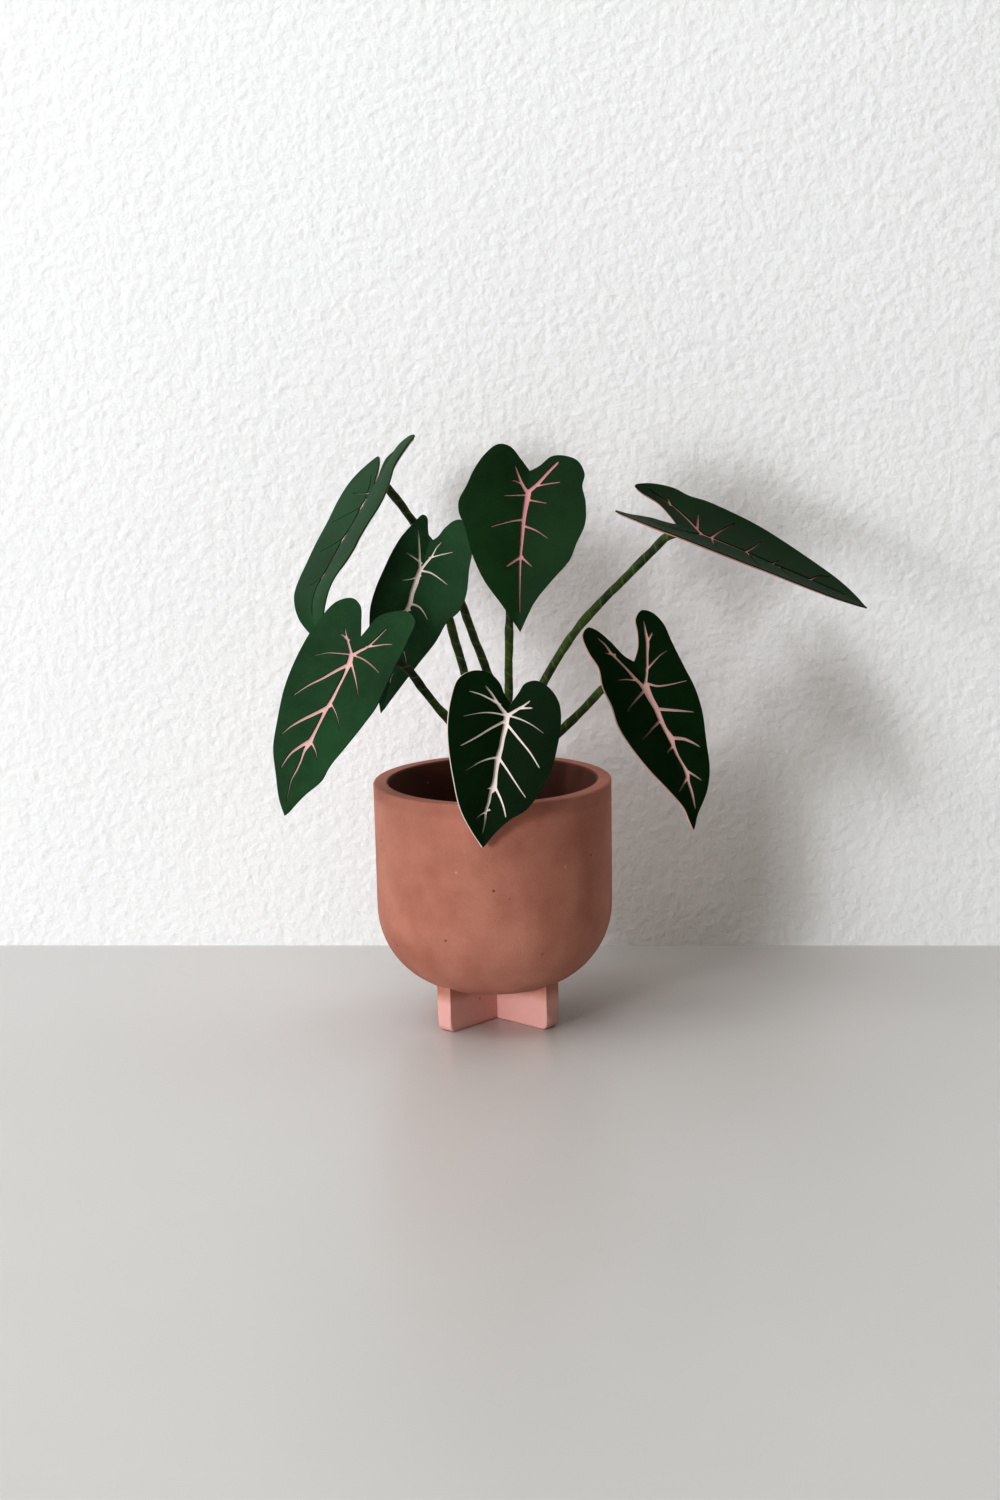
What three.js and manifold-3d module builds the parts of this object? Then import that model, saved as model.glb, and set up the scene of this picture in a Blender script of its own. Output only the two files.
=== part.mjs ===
// A potted philodendron made of cut paper: seven heart-shaped leaves on wrapped wire stems, in a cast pot
// that stands on a cross foot. Millimetres, +Z up. The origin is the centre of the foot's underside, and
// the front is -Y.
import * as THREE from "three";
import { mergeVertices } from "three/addons/utils/BufferGeometryUtils.js";
import Module from "manifold-3d";

const wasm = await Module();
wasm.setup();

// Driving dimensions of the pot
const rimHeight = 102.5;
const rimRadius = 50;
const wallThickness = 6.3;
const rimRounding = 1;
const shoulderRadius = 49.5; // where the straight wall ends and the round bottom starts
const bottomCurve = 35; // radius of the round bottom's section
const bowlUnderside = 14.5; // height of the bowl's flat bottom over the surface it stands on
const footReach = 32; // from the axis to the end of each arm
const footThickness = 7.5;
const footCorner = 3; // rounding of the arms' lower outer corners
const footEdge = 0.8; // rounding of the arms' long edges
const footTurn = THREE.MathUtils.degToRad(46.7); // of one bar, from the X axis
const roundSteps = 40;

// Driving dimensions of the fill, the stems and the leaf sheets
const fillTop = 74;
const fillCrown = 1.5; // the fill stands this much higher in the middle
const clearance = 0.3;
const stemRadius = 1.75;
const stemSides = 8;
const holeFloor = 60; // height of the blind holes' floors, in which the stems stand
const sheetThickness = 0.6;
const sheetGap = 0.3;
const stemGap = 0.45; // between a stem and the back of its leaf
const hookRadius = 3.4; // of the bend at a stem's top, behind the leaf
const stemSeat = 7; // length of stem that runs down the back of the leaf
const stepsPerSpan = 2;
const chordError = 0.06; // how far a sheet's flat triangles may stand off its curved shape
const farOff = 100; // beyond the edge of every leaf
const snap = 0.01; // corners closer than this are one

const degrees = THREE.MathUtils.degToRad;
const vec = ([x, y, z]) => new THREE.Vector3(x, y, z);

// Each leaf is drawn flat, in mm along the midrib from where the veins meet (lobes negative, tip positive)
// and across it (the right half positive, seen from the front with the tip down). Then it is folded at the
// midrib, curled across each half by so many degrees per mm (curlRight, where the right half differs), and
// drooped along the midrib from droopFrom on.
const leaves = {
  top: {
    at: [17, -8, 224.6], pointing: [-0.11, -0.306, -0.946], facing: [-0.198, -0.926, 0.323],
    fold: 14, curl: -0.34, droop: 0.17, droopFrom: 0,
    sinus: [-8.5, 0], tip: [58, 1],
    right: [[-10.5, 4], [-14.5, 9], [-15, 14], [-13, 20.5], [-7.5, 24], [-2.5, 23.5], [4, 25.5], [13, 26],
      [21, 23], [28, 20.5], [36, 14], [45, 7], [52, 3.5]],
    left: [[-13, -4], [-18, -9], [-18.5, -14], [-14, -19], [-7, -23], [0, -25.5], [6, -28], [11, -27.5],
      [17, -24.5], [27, -21], [38, -15], [47, -7.5], [54, -2]],
    veins: [
      { width: [3.1, 2], path: [[-0.5, 0.2], [4, 0], [14, -0.8], [20, -0.8]] },
      { width: [2, 0.6], path: [[19, -0.8], [27, -0.9], [37, -0.5], [50, 0.3]] },
      { width: [2.3, 1.3], path: [[0, 0.5], [-3.3, 4.2], [-7.5, 7.8], [-11.7, 11.8]] },
      { width: [1.1, 0.6], path: [[-2.3, 3.6], [-3, 8], [-3.8, 13.4]] },
      { width: [1.9, 0.5], path: [[0.5, -0.4], [-2.7, -2.7], [-6.7, -4.7], [-10.3, -6.3]] },
      { width: [0.9, 0.5], path: [[-2.6, -2.4], [-3.5, -5], [-4, -7]] },
      { width: [0.9, 0.5], path: [[1.8, -0.6], [2.8, -9.6]] },
      { width: [0.9, 0.5], path: [[3.6, 0.6], [4.2, 4.5], [5, 8.5]] },
      { width: [1.1, 0.5], path: [[12.2, -1], [13, -5.5], [16, -13.8]] },
      { width: [1.1, 0.5], path: [[14.6, 0], [16.2, 4.7], [19.3, 10.3]] },
      { width: [1.4, 0.8], path: [[27.4, -0.9], [31.5, -6.1]] },
      { width: [1.3, 0.5], path: [[27.6, -0.8], [29, 1.7], [31, 4.1]] },
    ],
    stem: { hole: [1.5, 1], loops: true, route: [[7.2, 2, 135.6], [8.1, 5, 160.7], [10.8, 6.5, 194.2]] },
  },
  midLeft: {
    at: [-28, 16, 189.7], pointing: [-0.299, -0.12, -0.947], facing: [-0.139, -0.976, 0.167],
    fold: 24, curl: -0.46, droop: 0.17, droopFrom: 0,
    sinus: [-12, 0], tip: [64, -0.5],
    right: [[-14.5, 3], [-19.5, 5.5], [-23.5, 9], [-24.5, 12.5], [-21.5, 17.5], [-14, 20.5], [-6, 21.5],
      [5, 23.5], [12, 22.5], [18, 18.5], [27, 16], [38, 11], [49, 6], [58, 2]],
    left: [[-16.5, -2], [-21.5, -4], [-22, -6], [-18, -8.5], [-11, -12], [-4, -14], [5, -15.5],
      [13, -16.5], [21, -16.5], [28, -15], [38, -12], [48, -8], [57, -3.5]],
    veins: [
      { width: [2.4, 2.2], path: [[-1, -0.2], [6, -0.7], [11, -1], [19, -1]] },
      { width: [2.2, 0.6], path: [[18, -1], [30, -1], [50, -0.4]] },
      { width: [1.4, 0.5], path: [[-0.6, -0.9], [-5.4, -2.5], [-11.4, -4.6], [-15.3, -6.1]] },
      { width: [1, 0.5], path: [[-2.2, -1.4], [-3.6, -4.4], [-4.7, -7.9]] },
      { width: [1.6, 0.6], path: [[-0.5, 0.1], [-6, 2.9], [-10.2, 4], [-13.1, 5.5]] },
      { width: [1, 0.5], path: [[-5.4, 2.6], [-7.9, 6.8], [-10.4, 11.9]] },
      { width: [1.1, 0.5], path: [[0.7, 0.2], [0.5, 4.6], [1.5, 9], [3.2, 14]] },
      { width: [1.3, 0.5], path: [[3.2, -0.6], [5.1, -2.7], [6.8, -6.7]] },
      { width: [1.2, 0.6], path: [[15.2, -0.8], [15.4, 3.5], [16.9, 6.6], [19.2, 9.3]] },
      { width: [1.2, 0.5], path: [[18.4, -1], [20.5, -4.5], [24, -8]] },
      { width: [1.1, 0.5], path: [[33, -0.9], [36, 3], [40, 5.5]] },
    ],
    stem: {
      hole: [-7.5, 3.5], loops: true,
      route: [[-8.7, 5, 135.4], [-11.4, 9, 148.5], [-15.9, 16, 164], [-19.8, 24, 181]],
    },
  },
  upperLeft: {
    at: [-51.3, 28.5, 217.6], pointing: [-0.421, -0.601, -0.679], facing: [-0.762, -0.172, 0.625],
    fold: 10.9, curl: -0.1, curlRight: -0.79, droop: 2.5, droopFrom: 46,
    sinus: [-8.5, 0], tip: [76, 0],
    right: [[-13, -0.8], [-19, -2.4], [-24.5, -3], [-28, 0.5], [-28.8, 6], [-28.8, 12], [-28.6, 18],
      [-27, 21.5], [-23, 19.6], [-17, 17.8], [-11.5, 17.4], [-6, 19.8], [0, 22.6], [7, 24.8], [14, 25.2],
      [22.5, 23.6], [30, 23], [36, 23.8], [43.5, 22.8], [49, 20.6], [54, 18], [59, 15], [64, 11], [70, 6]],
    left: [[-12.5, -2.4], [-18.8, -5], [-25, -8.6], [-28, -11.5], [-26, -16], [-21.7, -21.3],
      [-16, -24.7], [-7, -25.7], [4, -24.5], [15, -23.5], [29, -21.4], [37, -20.2], [45.3, -17.4],
      [52.6, -13.4], [60, -9.2], [67, -4.6]],
    veins: [
      { width: [2.8, 1.3], path: [[-1, 0], [3, 0], [12, 0], [20, 0]] },
      { width: [2.4, 1.1], path: [[19, 0], [24, 0], [32, 0], [40, 0]] },
      { width: [1.6, 0.6], path: [[39, 0], [46, 0], [60, 0]] },
      { width: [1.1, 0.6], path: [[0, -0.8], [-6.5, -3], [-10.9, -4.7], [-16.2, -7.9]] },
      { width: [1.1, 0.6], path: [[0, 0.8], [-4, 1.8], [-8, 3.4], [-13, 6.5]] },
      { width: [1, 0.5], path: [[-4.6, -2], [-5.8, -8], [-7.9, -15.1]] },
      { width: [1, 0.5], path: [[3.4, -0.6], [6, -11.3], [7.5, -19.5]] },
      { width: [1, 0.6], path: [[3.2, 0.8], [5.5, 4.2]] },
      { width: [1, 0.5], path: [[20.6, -0.5], [23.3, -6.4], [25.2, -14.6]] },
      { width: [1, 0.6], path: [[21.4, 0.6], [24, 4]] },
      { width: [1, 0.5], path: [[40.6, -0.2], [43.3, -2.8], [45.5, -7]] },
      { width: [1, 0.6], path: [[40.8, 0.2], [43, 3.2]] },
    ],
    stem: {
      hole: [-2, 8],
      route: [[2.6, 10, 135.7], [-2.2, 14, 147.7], [-7.8, 19, 163.3], [-14.3, 27, 179.5], [-22.5, 33, 194.9],
        [-33.2, 37.5, 209.3], [-40, 38.6, 218.4], [-43.2, 37, 222.6]],
    },
  },
  lowLeft: {
    at: [-55.9, -37, 162.8], pointing: [-0.44, -0.433, -0.786], facing: [-0.416, -0.677, 0.607],
    fold: 10, curl: -0.29, droop: 0.23, droopFrom: 0,
    sinus: [-8.5, 0], tip: [70.5, -1],
    right: [[-13, 1.5], [-18.5, 3.5], [-22, 10], [-23.5, 17], [-20, 23.5], [-12, 24.7], [0, 25],
      [12, 25.2], [19, 25], [27, 22.5], [38, 18], [47, 14], [53, 12.5], [61, 5.5]],
    left: [[-15.5, -3.5], [-21.5, -7], [-23.5, -12], [-20, -18], [-12, -21], [-2, -22.7], [10, -23],
      [22, -22], [36, -18.7], [46, -16], [56, -10.5], [65, -5.5]],
    veins: [
      { width: [3, 2.2], path: [[-0.5, 0], [3.2, 0.9], [15, 1.2], [24, 0.2]] },
      { width: [2.2, 2], path: [[23, 0.3], [36, -0.8], [41, -1.4]] },
      { width: [1.9, 0.6], path: [[40, -1.3], [48, -1.9], [56, -3], [64, -2.4]] },
      { width: [1.5, 0.6], path: [[-0.8, -0.6], [-4.9, -4.1], [-7.5, -6.5], [-10.2, -8.5]] },
      { width: [1.2, 0.6], path: [[-5.6, -4.6], [-6.8, -7.1], [-7.1, -9.2]] },
      { width: [2.4, 1], path: [[-0.6, 0.8], [-5, 6.2], [-9.2, 8.7], [-14.2, 11.1]] },
      { width: [1.6, 0.7], path: [[-4.6, 5.6], [-6.3, 10.5], [-8.1, 17.7]] },
      { width: [1.1, 0.6], path: [[-0.3, -0.4], [0.7, -5], [2, -10.2], [4.8, -15.7]] },
      { width: [1.1, 0.5], path: [[0, 0.6], [0.6, 6.9], [2.3, 12.4], [4.8, 18.4]] },
      { width: [2.2, 0.7], path: [[3.6, 0.9], [8, -3.1], [13, -7.4], [22.9, -16.4]] },
      { width: [1.4, 0.5], path: [[3.6, 1.6], [8.7, 7.2], [12.6, 10.7], [17, 14.1]] },
      { width: [2.2, 0.7], path: [[22.6, 0.6], [27.2, -3.4], [32.3, -8.9], [39.5, -14.5]] },
      { width: [1.1, 0.5], path: [[22.3, 1], [25.2, 5.9], [31.5, 12]] },
      { width: [2, 0.8], path: [[38.6, -1], [42.2, -4.5], [45.3, -7], [52.4, -9.4]] },
      { width: [1.3, 0.5], path: [[39.2, -0.9], [42.2, 3.5], [45.5, 6.4]] },
    ],
    stem: {
      hole: [-7, -4],
      route: [[-8.2, -6, 113.2], [-17, -12, 129.5], [-25.8, -17, 141.6], [-35.5, -22.5, 155.8]],
    },
  },
  front: {
    at: [6.5, -54, 139], pointing: [-0.202, -0.06, -0.978], facing: [-0.085, -0.993, 0.079],
    fold: 20, curl: -0.52, droop: 0.11, droopFrom: 0,
    sinus: [-6, 0.5], tip: [54, 0],
    right: [[-11, 3], [-15, 4.7], [-17.3, 9], [-16, 14.5], [-11, 20], [-3, 22.5], [8, 22.8], [16, 22.2],
      [25, 19.5], [34, 15.3], [40, 9], [47, 3.8]],
    left: [[-9, -2.5], [-14, -6], [-17, -11], [-16.5, -17.5], [-12.5, -22.2], [-5, -23.6], [6, -23.1],
      [16, -20.8], [27, -17], [39, -12], [47, -6.3]],
    veins: [
      { width: [3.1, 2.1], path: [[-0.8, 0], [4, 0.1], [12, -0.2], [17, -0.6]] },
      { width: [2.3, 2.4], path: [[16, -0.6], [22, -0.5], [29, -0.2]] },
      { width: [1.8, 0.6], path: [[28, -0.4], [35, -1.1], [41, -1.4], [48, -1]] },
      { width: [1.6, 0.9], path: [[28.6, 0.2], [32.9, 3.9], [38.8, 7]] },
      { width: [1.8, 0.6], path: [[-1, -0.8], [-5.2, -4.8], [-8.6, -7.9], [-11.3, -10.9]] },
      { width: [1.3, 0.5], path: [[-4.8, -4.4], [-6.5, -8.3], [-7.8, -12.7], [-8.3, -16.9]] },
      { width: [1.7, 0.8], path: [[-1.4, 0.6], [-4.3, 3.6], [-8.5, 7.9]] },
      { width: [1.2, 0.7], path: [[-4.8, 4.4], [-6.2, 9.3]] },
      { width: [1.1, 0.5], path: [[-0.8, -1], [-1.2, -5.7], [-0.6, -10.5], [2, -17.8]] },
      { width: [1.5, 0.7], path: [[1.5, -0.9], [5.4, -6.1], [9.9, -11.4], [13.7, -16.4]] },
      { width: [1.1, 0.5], path: [[-0.8, 0.8], [-0.8, 5.6], [0.4, 11], [2.5, 16.1]] },
      { width: [1.5, 0.9], path: [[2.6, 0.6], [6.8, 6.2], [16.2, 16.9]] },
      { width: [1.3, 0.5], path: [[16.2, -0.6], [17.5, -4.6], [23.6, -12.6]] },
      { width: [1.5, 0.7], path: [[16.8, -0.2], [20.4, 4.1], [29.2, 13.6]] },
      { width: [1.1, 0.5], path: [[38.4, -1.2], [40.8, -3.7], [42.5, -5]] },
    ],
    stem: { hole: [1, -7], loops: true, route: [[3, -14, 104], [4.8, -25, 117], [6, -37, 128]] },
  },
  lowRight: {
    at: [63.8, -14, 143.5], pointing: [0.374, -0.346, -0.861], facing: [0.268, -0.848, 0.457],
    fold: 15, curl: -0.34, droop: 0.17, droopFrom: 0,
    sinus: [-11, 0], tip: [62.5, -4],
    right: [[-16, 4], [-22, 6.5], [-27.5, 8], [-30, 11.5], [-28, 15], [-22, 17.8], [-13, 18], [0, 18.5],
      [8, 19], [18, 18], [30, 14.8], [42, 11.5], [50, 7], [57, 0.5]],
    left: [[-14.5, -3.5], [-22, -7], [-28, -10.8], [-30.5, -14.5], [-28, -18], [-20, -18.5], [-13, -17.2],
      [-5, -19], [4, -18.8], [12, -19.7], [21, -18.2], [33, -14], [44, -8.5], [53, -4.6], [58, -4.3]],
    veins: [
      { width: [4.2, 2.6], path: [[-1, 0], [5, 0], [12, 0.5], [20, 0.6]] },
      { width: [2.2, 1.9], path: [[19, 0.6], [24, 1.4], [32, 1.4], [40, 2.1]] },
      { width: [1.5, 0.6], path: [[39, 2.1], [46, 1.3], [54.4, 0.2]] },
      { width: [1.4, 1.6], path: [[-1, 0.8], [-6.6, 3.9], [-11.7, 6.1], [-17, 8.5]] },
      { width: [1.5, 0.6], path: [[-16.4, 8.2], [-21, 9.5], [-25.3, 10.6]] },
      { width: [1.3, 1], path: [[-16.8, 8.4], [-19.2, 11.4]] },
      { width: [1.2, 0.5], path: [[-6, 3.6], [-8.2, 7.8], [-10.2, 14.2]] },
      { width: [2.3, 1.6], path: [[-1, -1.2], [-5, -3.3], [-13.8, -7.2], [-17.4, -8.9]] },
      { width: [1.6, 0.9], path: [[-17, -8.7], [-21.4, -9.9], [-24.7, -11.8]] },
      { width: [1.3, 0.7], path: [[-16.2, -8], [-18.1, -11.6]] },
      { width: [1.3, 0.5], path: [[-3.4, -2.6], [-5, -7.6], [-5.7, -11.4]] },
      { width: [1.3, 0.6], path: [[-0.4, 1.2], [1.9, 4.6], [3.8, 12.8], [4.4, 16.7]] },
      { width: [1.5, 0.6], path: [[2, -1.2], [4.2, -6.5], [7.8, -13]] },
      { width: [1.7, 0.6], path: [[10.6, 0.6], [13.5, 6.3], [17.4, 14.2]] },
      { width: [1.5, 0.6], path: [[16, 0], [17.7, -4.8], [20.7, -11.6]] },
      { width: [1.8, 0.8], path: [[24, 1.6], [26.4, 6.3], [31.4, 11]] },
      { width: [1.3, 0.8], path: [[27.4, 0.8], [29.2, -2.5]] },
      { width: [1.3, 0.6], path: [[39, 2.4], [44.5, 6.6]] },
      { width: [1.3, 0.8], path: [[41, 1.6], [44.2, -1.6], [45.7, -4]] },
    ],
    stem: {
      hole: [8, -2],
      route: [[15.9, -4, 110.9], [28.6, -6, 123.2], [41.2, -7, 135.6], [48.5, -7, 142.8]],
    },
  },
  right: {
    at: [88.7, 4, 203.8], pointing: [0.917, -0.16, -0.365], facing: [0.324, -0.235, 0.917],
    fold: 5, curl: 0.44, curlRight: 0.49, droop: 0.06, droopFrom: 0,
    sinus: [-10.7, 0.5], tip: [75, -1],
    right: [[-15, 6], [-22.5, 13], [-31, 16.2], [-34.2, 18.4], [-29, 23.8], [-19, 27], [-12, 26], [-4, 27],
      [8, 26], [20, 24.2], [34, 20.5], [48, 16], [60, 10.7], [69, 4.7]],
    left: [[-12.5, -1.5], [-16, -3.6], [-21, -5.6], [-26, -10.5], [-30, -16.5], [-35, -21.5],
      [-34, -24.5], [-28, -26], [-19, -27], [-10, -26.8], [2, -26.8], [12, -25.5], [25, -22.5], [38, -18.5], [50, -14.5], [61, -9.8], [69, -5]],
    veins: [
      { width: [3.2, 2], path: [[-1.2, 0], [6, -0.3], [20, 0]] },
      { width: [2, 1.2], path: [[19, 0], [30, 0.3], [42, 0.6]] },
      { width: [1.2, 0.6], path: [[41, 0.6], [52, 1], [64, 1]] },
      { width: [2.2, 1.5], path: [[0, 0.6], [-4.3, 5], [-9, 9.5], [-17.4, 15]] },
      { width: [1.6, 0.6], path: [[-16.8, 14.6], [-24.5, 17.7], [-28, 19.7]] },
      { width: [1.4, 0.9], path: [[-17, 14.6], [-19, 18.4]] },
      { width: [1.4, 0.5], path: [[-2.6, 3.6], [-4.1, 12], [-5.1, 16.3]] },
      { width: [2, 0.7], path: [[0, -0.8], [-5, -5], [-11, -9.5], [-20, -14.5]] },
      { width: [1.6, 0.6], path: [[4.4, 0.4], [6.5, 9], [10.5, 19.3]] },
      { width: [1.4, 0.6], path: [[5, -1], [7, -8], [10, -15]] },
      { width: [1.4, 0.6], path: [[20, 0.4], [21.8, 7], [23.6, 13.3]] },
      { width: [1.4, 0.6], path: [[21, -0.4], [24, -7], [28, -12]] },
      { width: [1.1, 0.6], path: [[31.8, 0.4], [33.6, 5]] },
      { width: [1.1, 0.6], path: [[35, -0.2], [38, -5], [41, -8]] },
      { width: [1.2, 0.5], path: [[48.6, 0.8], [52.1, 7.3], [56.1, 10.1]] },
    ],
    stem: {
      hole: [6, 5],
      aside: 5,
      route: [[15, 6, 126.2], [22, 7, 141.6], [37.1, 8, 164.6], [49.5, 9, 177.7], [61.4, 9.9, 189.2],
        [68.6, 10.5, 196], [73.9, 10.9, 201.1]],
    },
  },
};

// The three directions of a leaf: along its midrib, out of its face, and across to its right half.
function leafFrame(leaf) {
  const along = vec(leaf.pointing).normalize();
  const out = vec(leaf.facing);
  out.addScaledVector(along, -out.dot(along)).normalize();
  const across = new THREE.Vector3().crossVectors(out, along);
  return { along, out, across };
}

// A point of the leaf at (s, t) on the flat drawing, sunk by depth behind its front face.
function leafPoint(leaf, s, t, depth) {
  const { along, out, across } = leafFrame(leaf);
  const bend = degrees(leaf.droop);
  const past = Math.max(s - leaf.droopFrom, 0);
  const turn = bend * past;
  const point = vec(leaf.at)
    .addScaledVector(along, Math.min(s, leaf.droopFrom) + Math.sin(turn) / bend)
    .addScaledVector(out, -(1 - Math.cos(turn)) / bend);
  const rise = out.clone().multiplyScalar(Math.cos(turn)).addScaledVector(along, Math.sin(turn));
  const side = Math.sign(t);
  const fold = degrees(leaf.fold);
  const curl = degrees(side > 0 ? leaf.curlRight ?? leaf.curl : leaf.curl);
  const tilt = fold + curl * Math.abs(t);
  point.addScaledVector(across, (side * (Math.sin(tilt) - Math.sin(fold))) / curl);
  point.addScaledVector(rise, (Math.cos(fold) - Math.cos(tilt)) / curl);
  if (side === 0) return point.addScaledVector(rise, -depth / Math.cos(fold));
  point.addScaledVector(rise, -depth * Math.cos(tilt));
  return point.addScaledVector(across, depth * side * Math.sin(tilt));
}

function smoothEdge(points) {
  const curve = new THREE.CatmullRomCurve3(points.map(([s, t]) => vec([s, t, 0])), false, "centripetal");
  return curve.getPoints(stepsPerSpan * (points.length - 1)).map((p) => new THREE.Vector2(p.x, p.y));
}

function leafOutline(leaf) {
  const down = smoothEdge([leaf.sinus, ...leaf.left, leaf.tip]);
  const up = smoothEdge([leaf.tip, ...[...leaf.right].reverse(), leaf.sinus]);
  return new THREE.Shape([...down.slice(0, -1), ...up.slice(0, -1)]);
}

// A vein is a slot that tapers from its first width to its last and ends in a point.
function veinOutline({ width: [start, end], path }) {
  const points = path.map(([s, t]) => new THREE.Vector2(s, t));
  const last = points.length - 1;
  const edge = (sign) => points.map((p, i) => {
    const heading = points[Math.min(i + 1, last)].clone().sub(points[Math.max(i - 1, 0)]).normalize();
    const half = THREE.MathUtils.lerp(start, end, i / last) / 2;
    return new THREE.Vector2(p.x - sign * half * heading.y, p.y + sign * half * heading.x);
  });
  const heading = points[last].clone().sub(points[last - 1]).normalize();
  const point = points[last].clone().addScaledVector(heading, end);
  return new THREE.Shape([...edge(-1), point, ...edge(1).reverse()]);
}

function solid(geometry) {
  const bare = geometry.clone();
  bare.deleteAttribute("normal");
  bare.deleteAttribute("uv");
  const merged = mergeVertices(bare, 1e-4);
  return new wasm.Manifold(new wasm.Mesh({
    numProp: 3,
    vertProperties: new Float32Array(merged.attributes.position.array),
    triVerts: new Uint32Array(merged.index.array),
  }));
}

function geometryOf(manifold) {
  const mesh = manifold.getMesh();
  const geometry = new THREE.BufferGeometry();
  const positions = new Float32Array(mesh.numVert * 3);
  for (let i = 0; i < mesh.numVert; i++) {
    positions.set(mesh.vertProperties.subarray(i * mesh.numProp, i * mesh.numProp + 3), i * 3);
  }
  geometry.setAttribute("position", new THREE.BufferAttribute(positions, 3));
  geometry.setIndex(new THREE.BufferAttribute(new Uint32Array(mesh.triVerts), 1));
  return geometry;
}

const plate = (shape, low, high) =>
  solid(new THREE.ExtrudeGeometry(shape, { depth: high - low, bevelEnabled: false }).translate(0, 0, low));

// Dividing lines close enough together for flat triangles to follow a bend of so many degrees per mm.
function linesFrom(start, end, bend) {
  const spacing = Math.sqrt((8 * chordError) / Math.abs(degrees(bend)));
  const lines = [];
  for (let line = start; line < end; line += spacing) lines.push(line);
  return lines;
}

// The flat drawing as triangles: the outline with its slots cut out, cell by cell between the dividing lines,
// so that every triangle is small enough to follow the fold, the curl and the droop.
function flatRegion(leaf, slots) {
  let body = plate(leafOutline(leaf), 0, 1);
  for (const vein of slots) body = body.subtract(plate(veinOutline(vein), -1, 2));
  const points = [];
  const triangles = [];
  const corner = ([s, t]) => {
    const known = points.findIndex((p) => Math.hypot(p[0] - s, p[1] - t) < snap);
    return known < 0 ? points.push([s, t]) - 1 : known;
  };
  const rows = [-farOff, ...linesFrom(leaf.droopFrom, leaf.tip[0], leaf.droop), farOff];
  const widest = Math.max(...leaf.right.map(([, t]) => t));
  const leftColumns = linesFrom(0, widest, leaf.curl).slice(1).map((t) => -t).reverse();
  const columns = [-farOff, ...leftColumns, ...linesFrom(0, widest, leaf.curlRight ?? leaf.curl), farOff];
  for (let row = 1; row < rows.length; row++) {
    for (let column = 1; column < columns.length; column++) {
      const [low, high] = [rows[row - 1], rows[row]];
      const [left, right] = [columns[column - 1], columns[column]];
      const cell = new THREE.BoxGeometry(high - low, right - left, 4);
      cell.translate((low + high) / 2, (left + right) / 2, 0);
      const mesh = body.intersect(solid(cell)).getMesh();
      const place = (v) => mesh.vertProperties.subarray(v * mesh.numProp, v * mesh.numProp + 3);
      for (let i = 0; i < mesh.triVerts.length; i += 3) {
        const corners = [...mesh.triVerts.subarray(i, i + 3)].map(place);
        if (corners.some(([, , z]) => z < 0.5)) continue;
        const [a, b, c] = corners.map(corner);
        if (a !== b && b !== c && c !== a) triangles.push([a, b, c]);
      }
    }
  }
  stitch(points, triangles);
  return { points, triangles };
}

// Where a corner of one cell lies on the side of its neighbour's triangle, that triangle is divided there.
function stitch(points, triangles) {
  const isBetween = (p, [startS, startT], [endS, endT]) => {
    const [runS, runT] = [endS - startS, endT - startT];
    const length = Math.hypot(runS, runT);
    const along = ((p[0] - startS) * runS + (p[1] - startT) * runT) / length;
    const off = ((p[0] - startS) * runT - (p[1] - startT) * runS) / length;
    return along > 0 && along < length && Math.abs(off) < snap;
  };
  const edges = new Set(triangles.flatMap(([a, b, c]) => [a + "," + b, b + "," + c, c + "," + a]));
  for (let n = 0; n < triangles.length; n++) {
    const [a, b, c] = triangles[n];
    for (const [i, j, k] of [[a, b, c], [b, c, a], [c, a, b]]) {
      if (edges.has(j + "," + i)) continue;
      const [start, end] = [points[i], points[j]];
      const between = points.findIndex((p, m) => m !== i && m !== j && isBetween(p, start, end));
      if (between < 0 || between === k) continue;
      triangles[n] = [i, between, k];
      triangles.push([between, j, k]);
      for (const [from, to] of [[i, between], [between, j], [between, k], [k, between]]) {
        edges.add(from + "," + to);
      }
      n -= 1;
      break;
    }
  }
}

// The flat region bent to the leaf's shape, as a closed sheet between two depths behind the front face.
function bentSheet(leaf, region, frontDepth, backDepth) {
  const { points, triangles } = region;
  const bent = (depth) => points.map(([s, t]) => leafPoint(leaf, s, t, depth));
  const corners = [...bent(frontDepth), ...bent(backDepth)];
  const back = points.length;
  const faces = [];
  const open = new Map();
  for (const [a, b, c] of triangles) {
    faces.push(a, b, c, back + a, back + c, back + b);
    for (const [i, j] of [[a, b], [b, c], [c, a]]) {
      if (!open.delete(j + "," + i)) open.set(i + "," + j, [i, j]);
    }
  }
  for (const [i, j] of open.values()) faces.push(i, back + i, back + j, i, back + j, j);
  const geometry = new THREE.BufferGeometry().setFromPoints(corners);
  geometry.setIndex(faces);
  return geometryOf(solid(geometry));
}

// A curve whose steps are shared out evenly between its points, so that a tight bend gets as many as a
// long run.
class StemCurve extends THREE.CatmullRomCurve3 {
  getUtoTmapping(u) {
    return u;
  }
}

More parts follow.
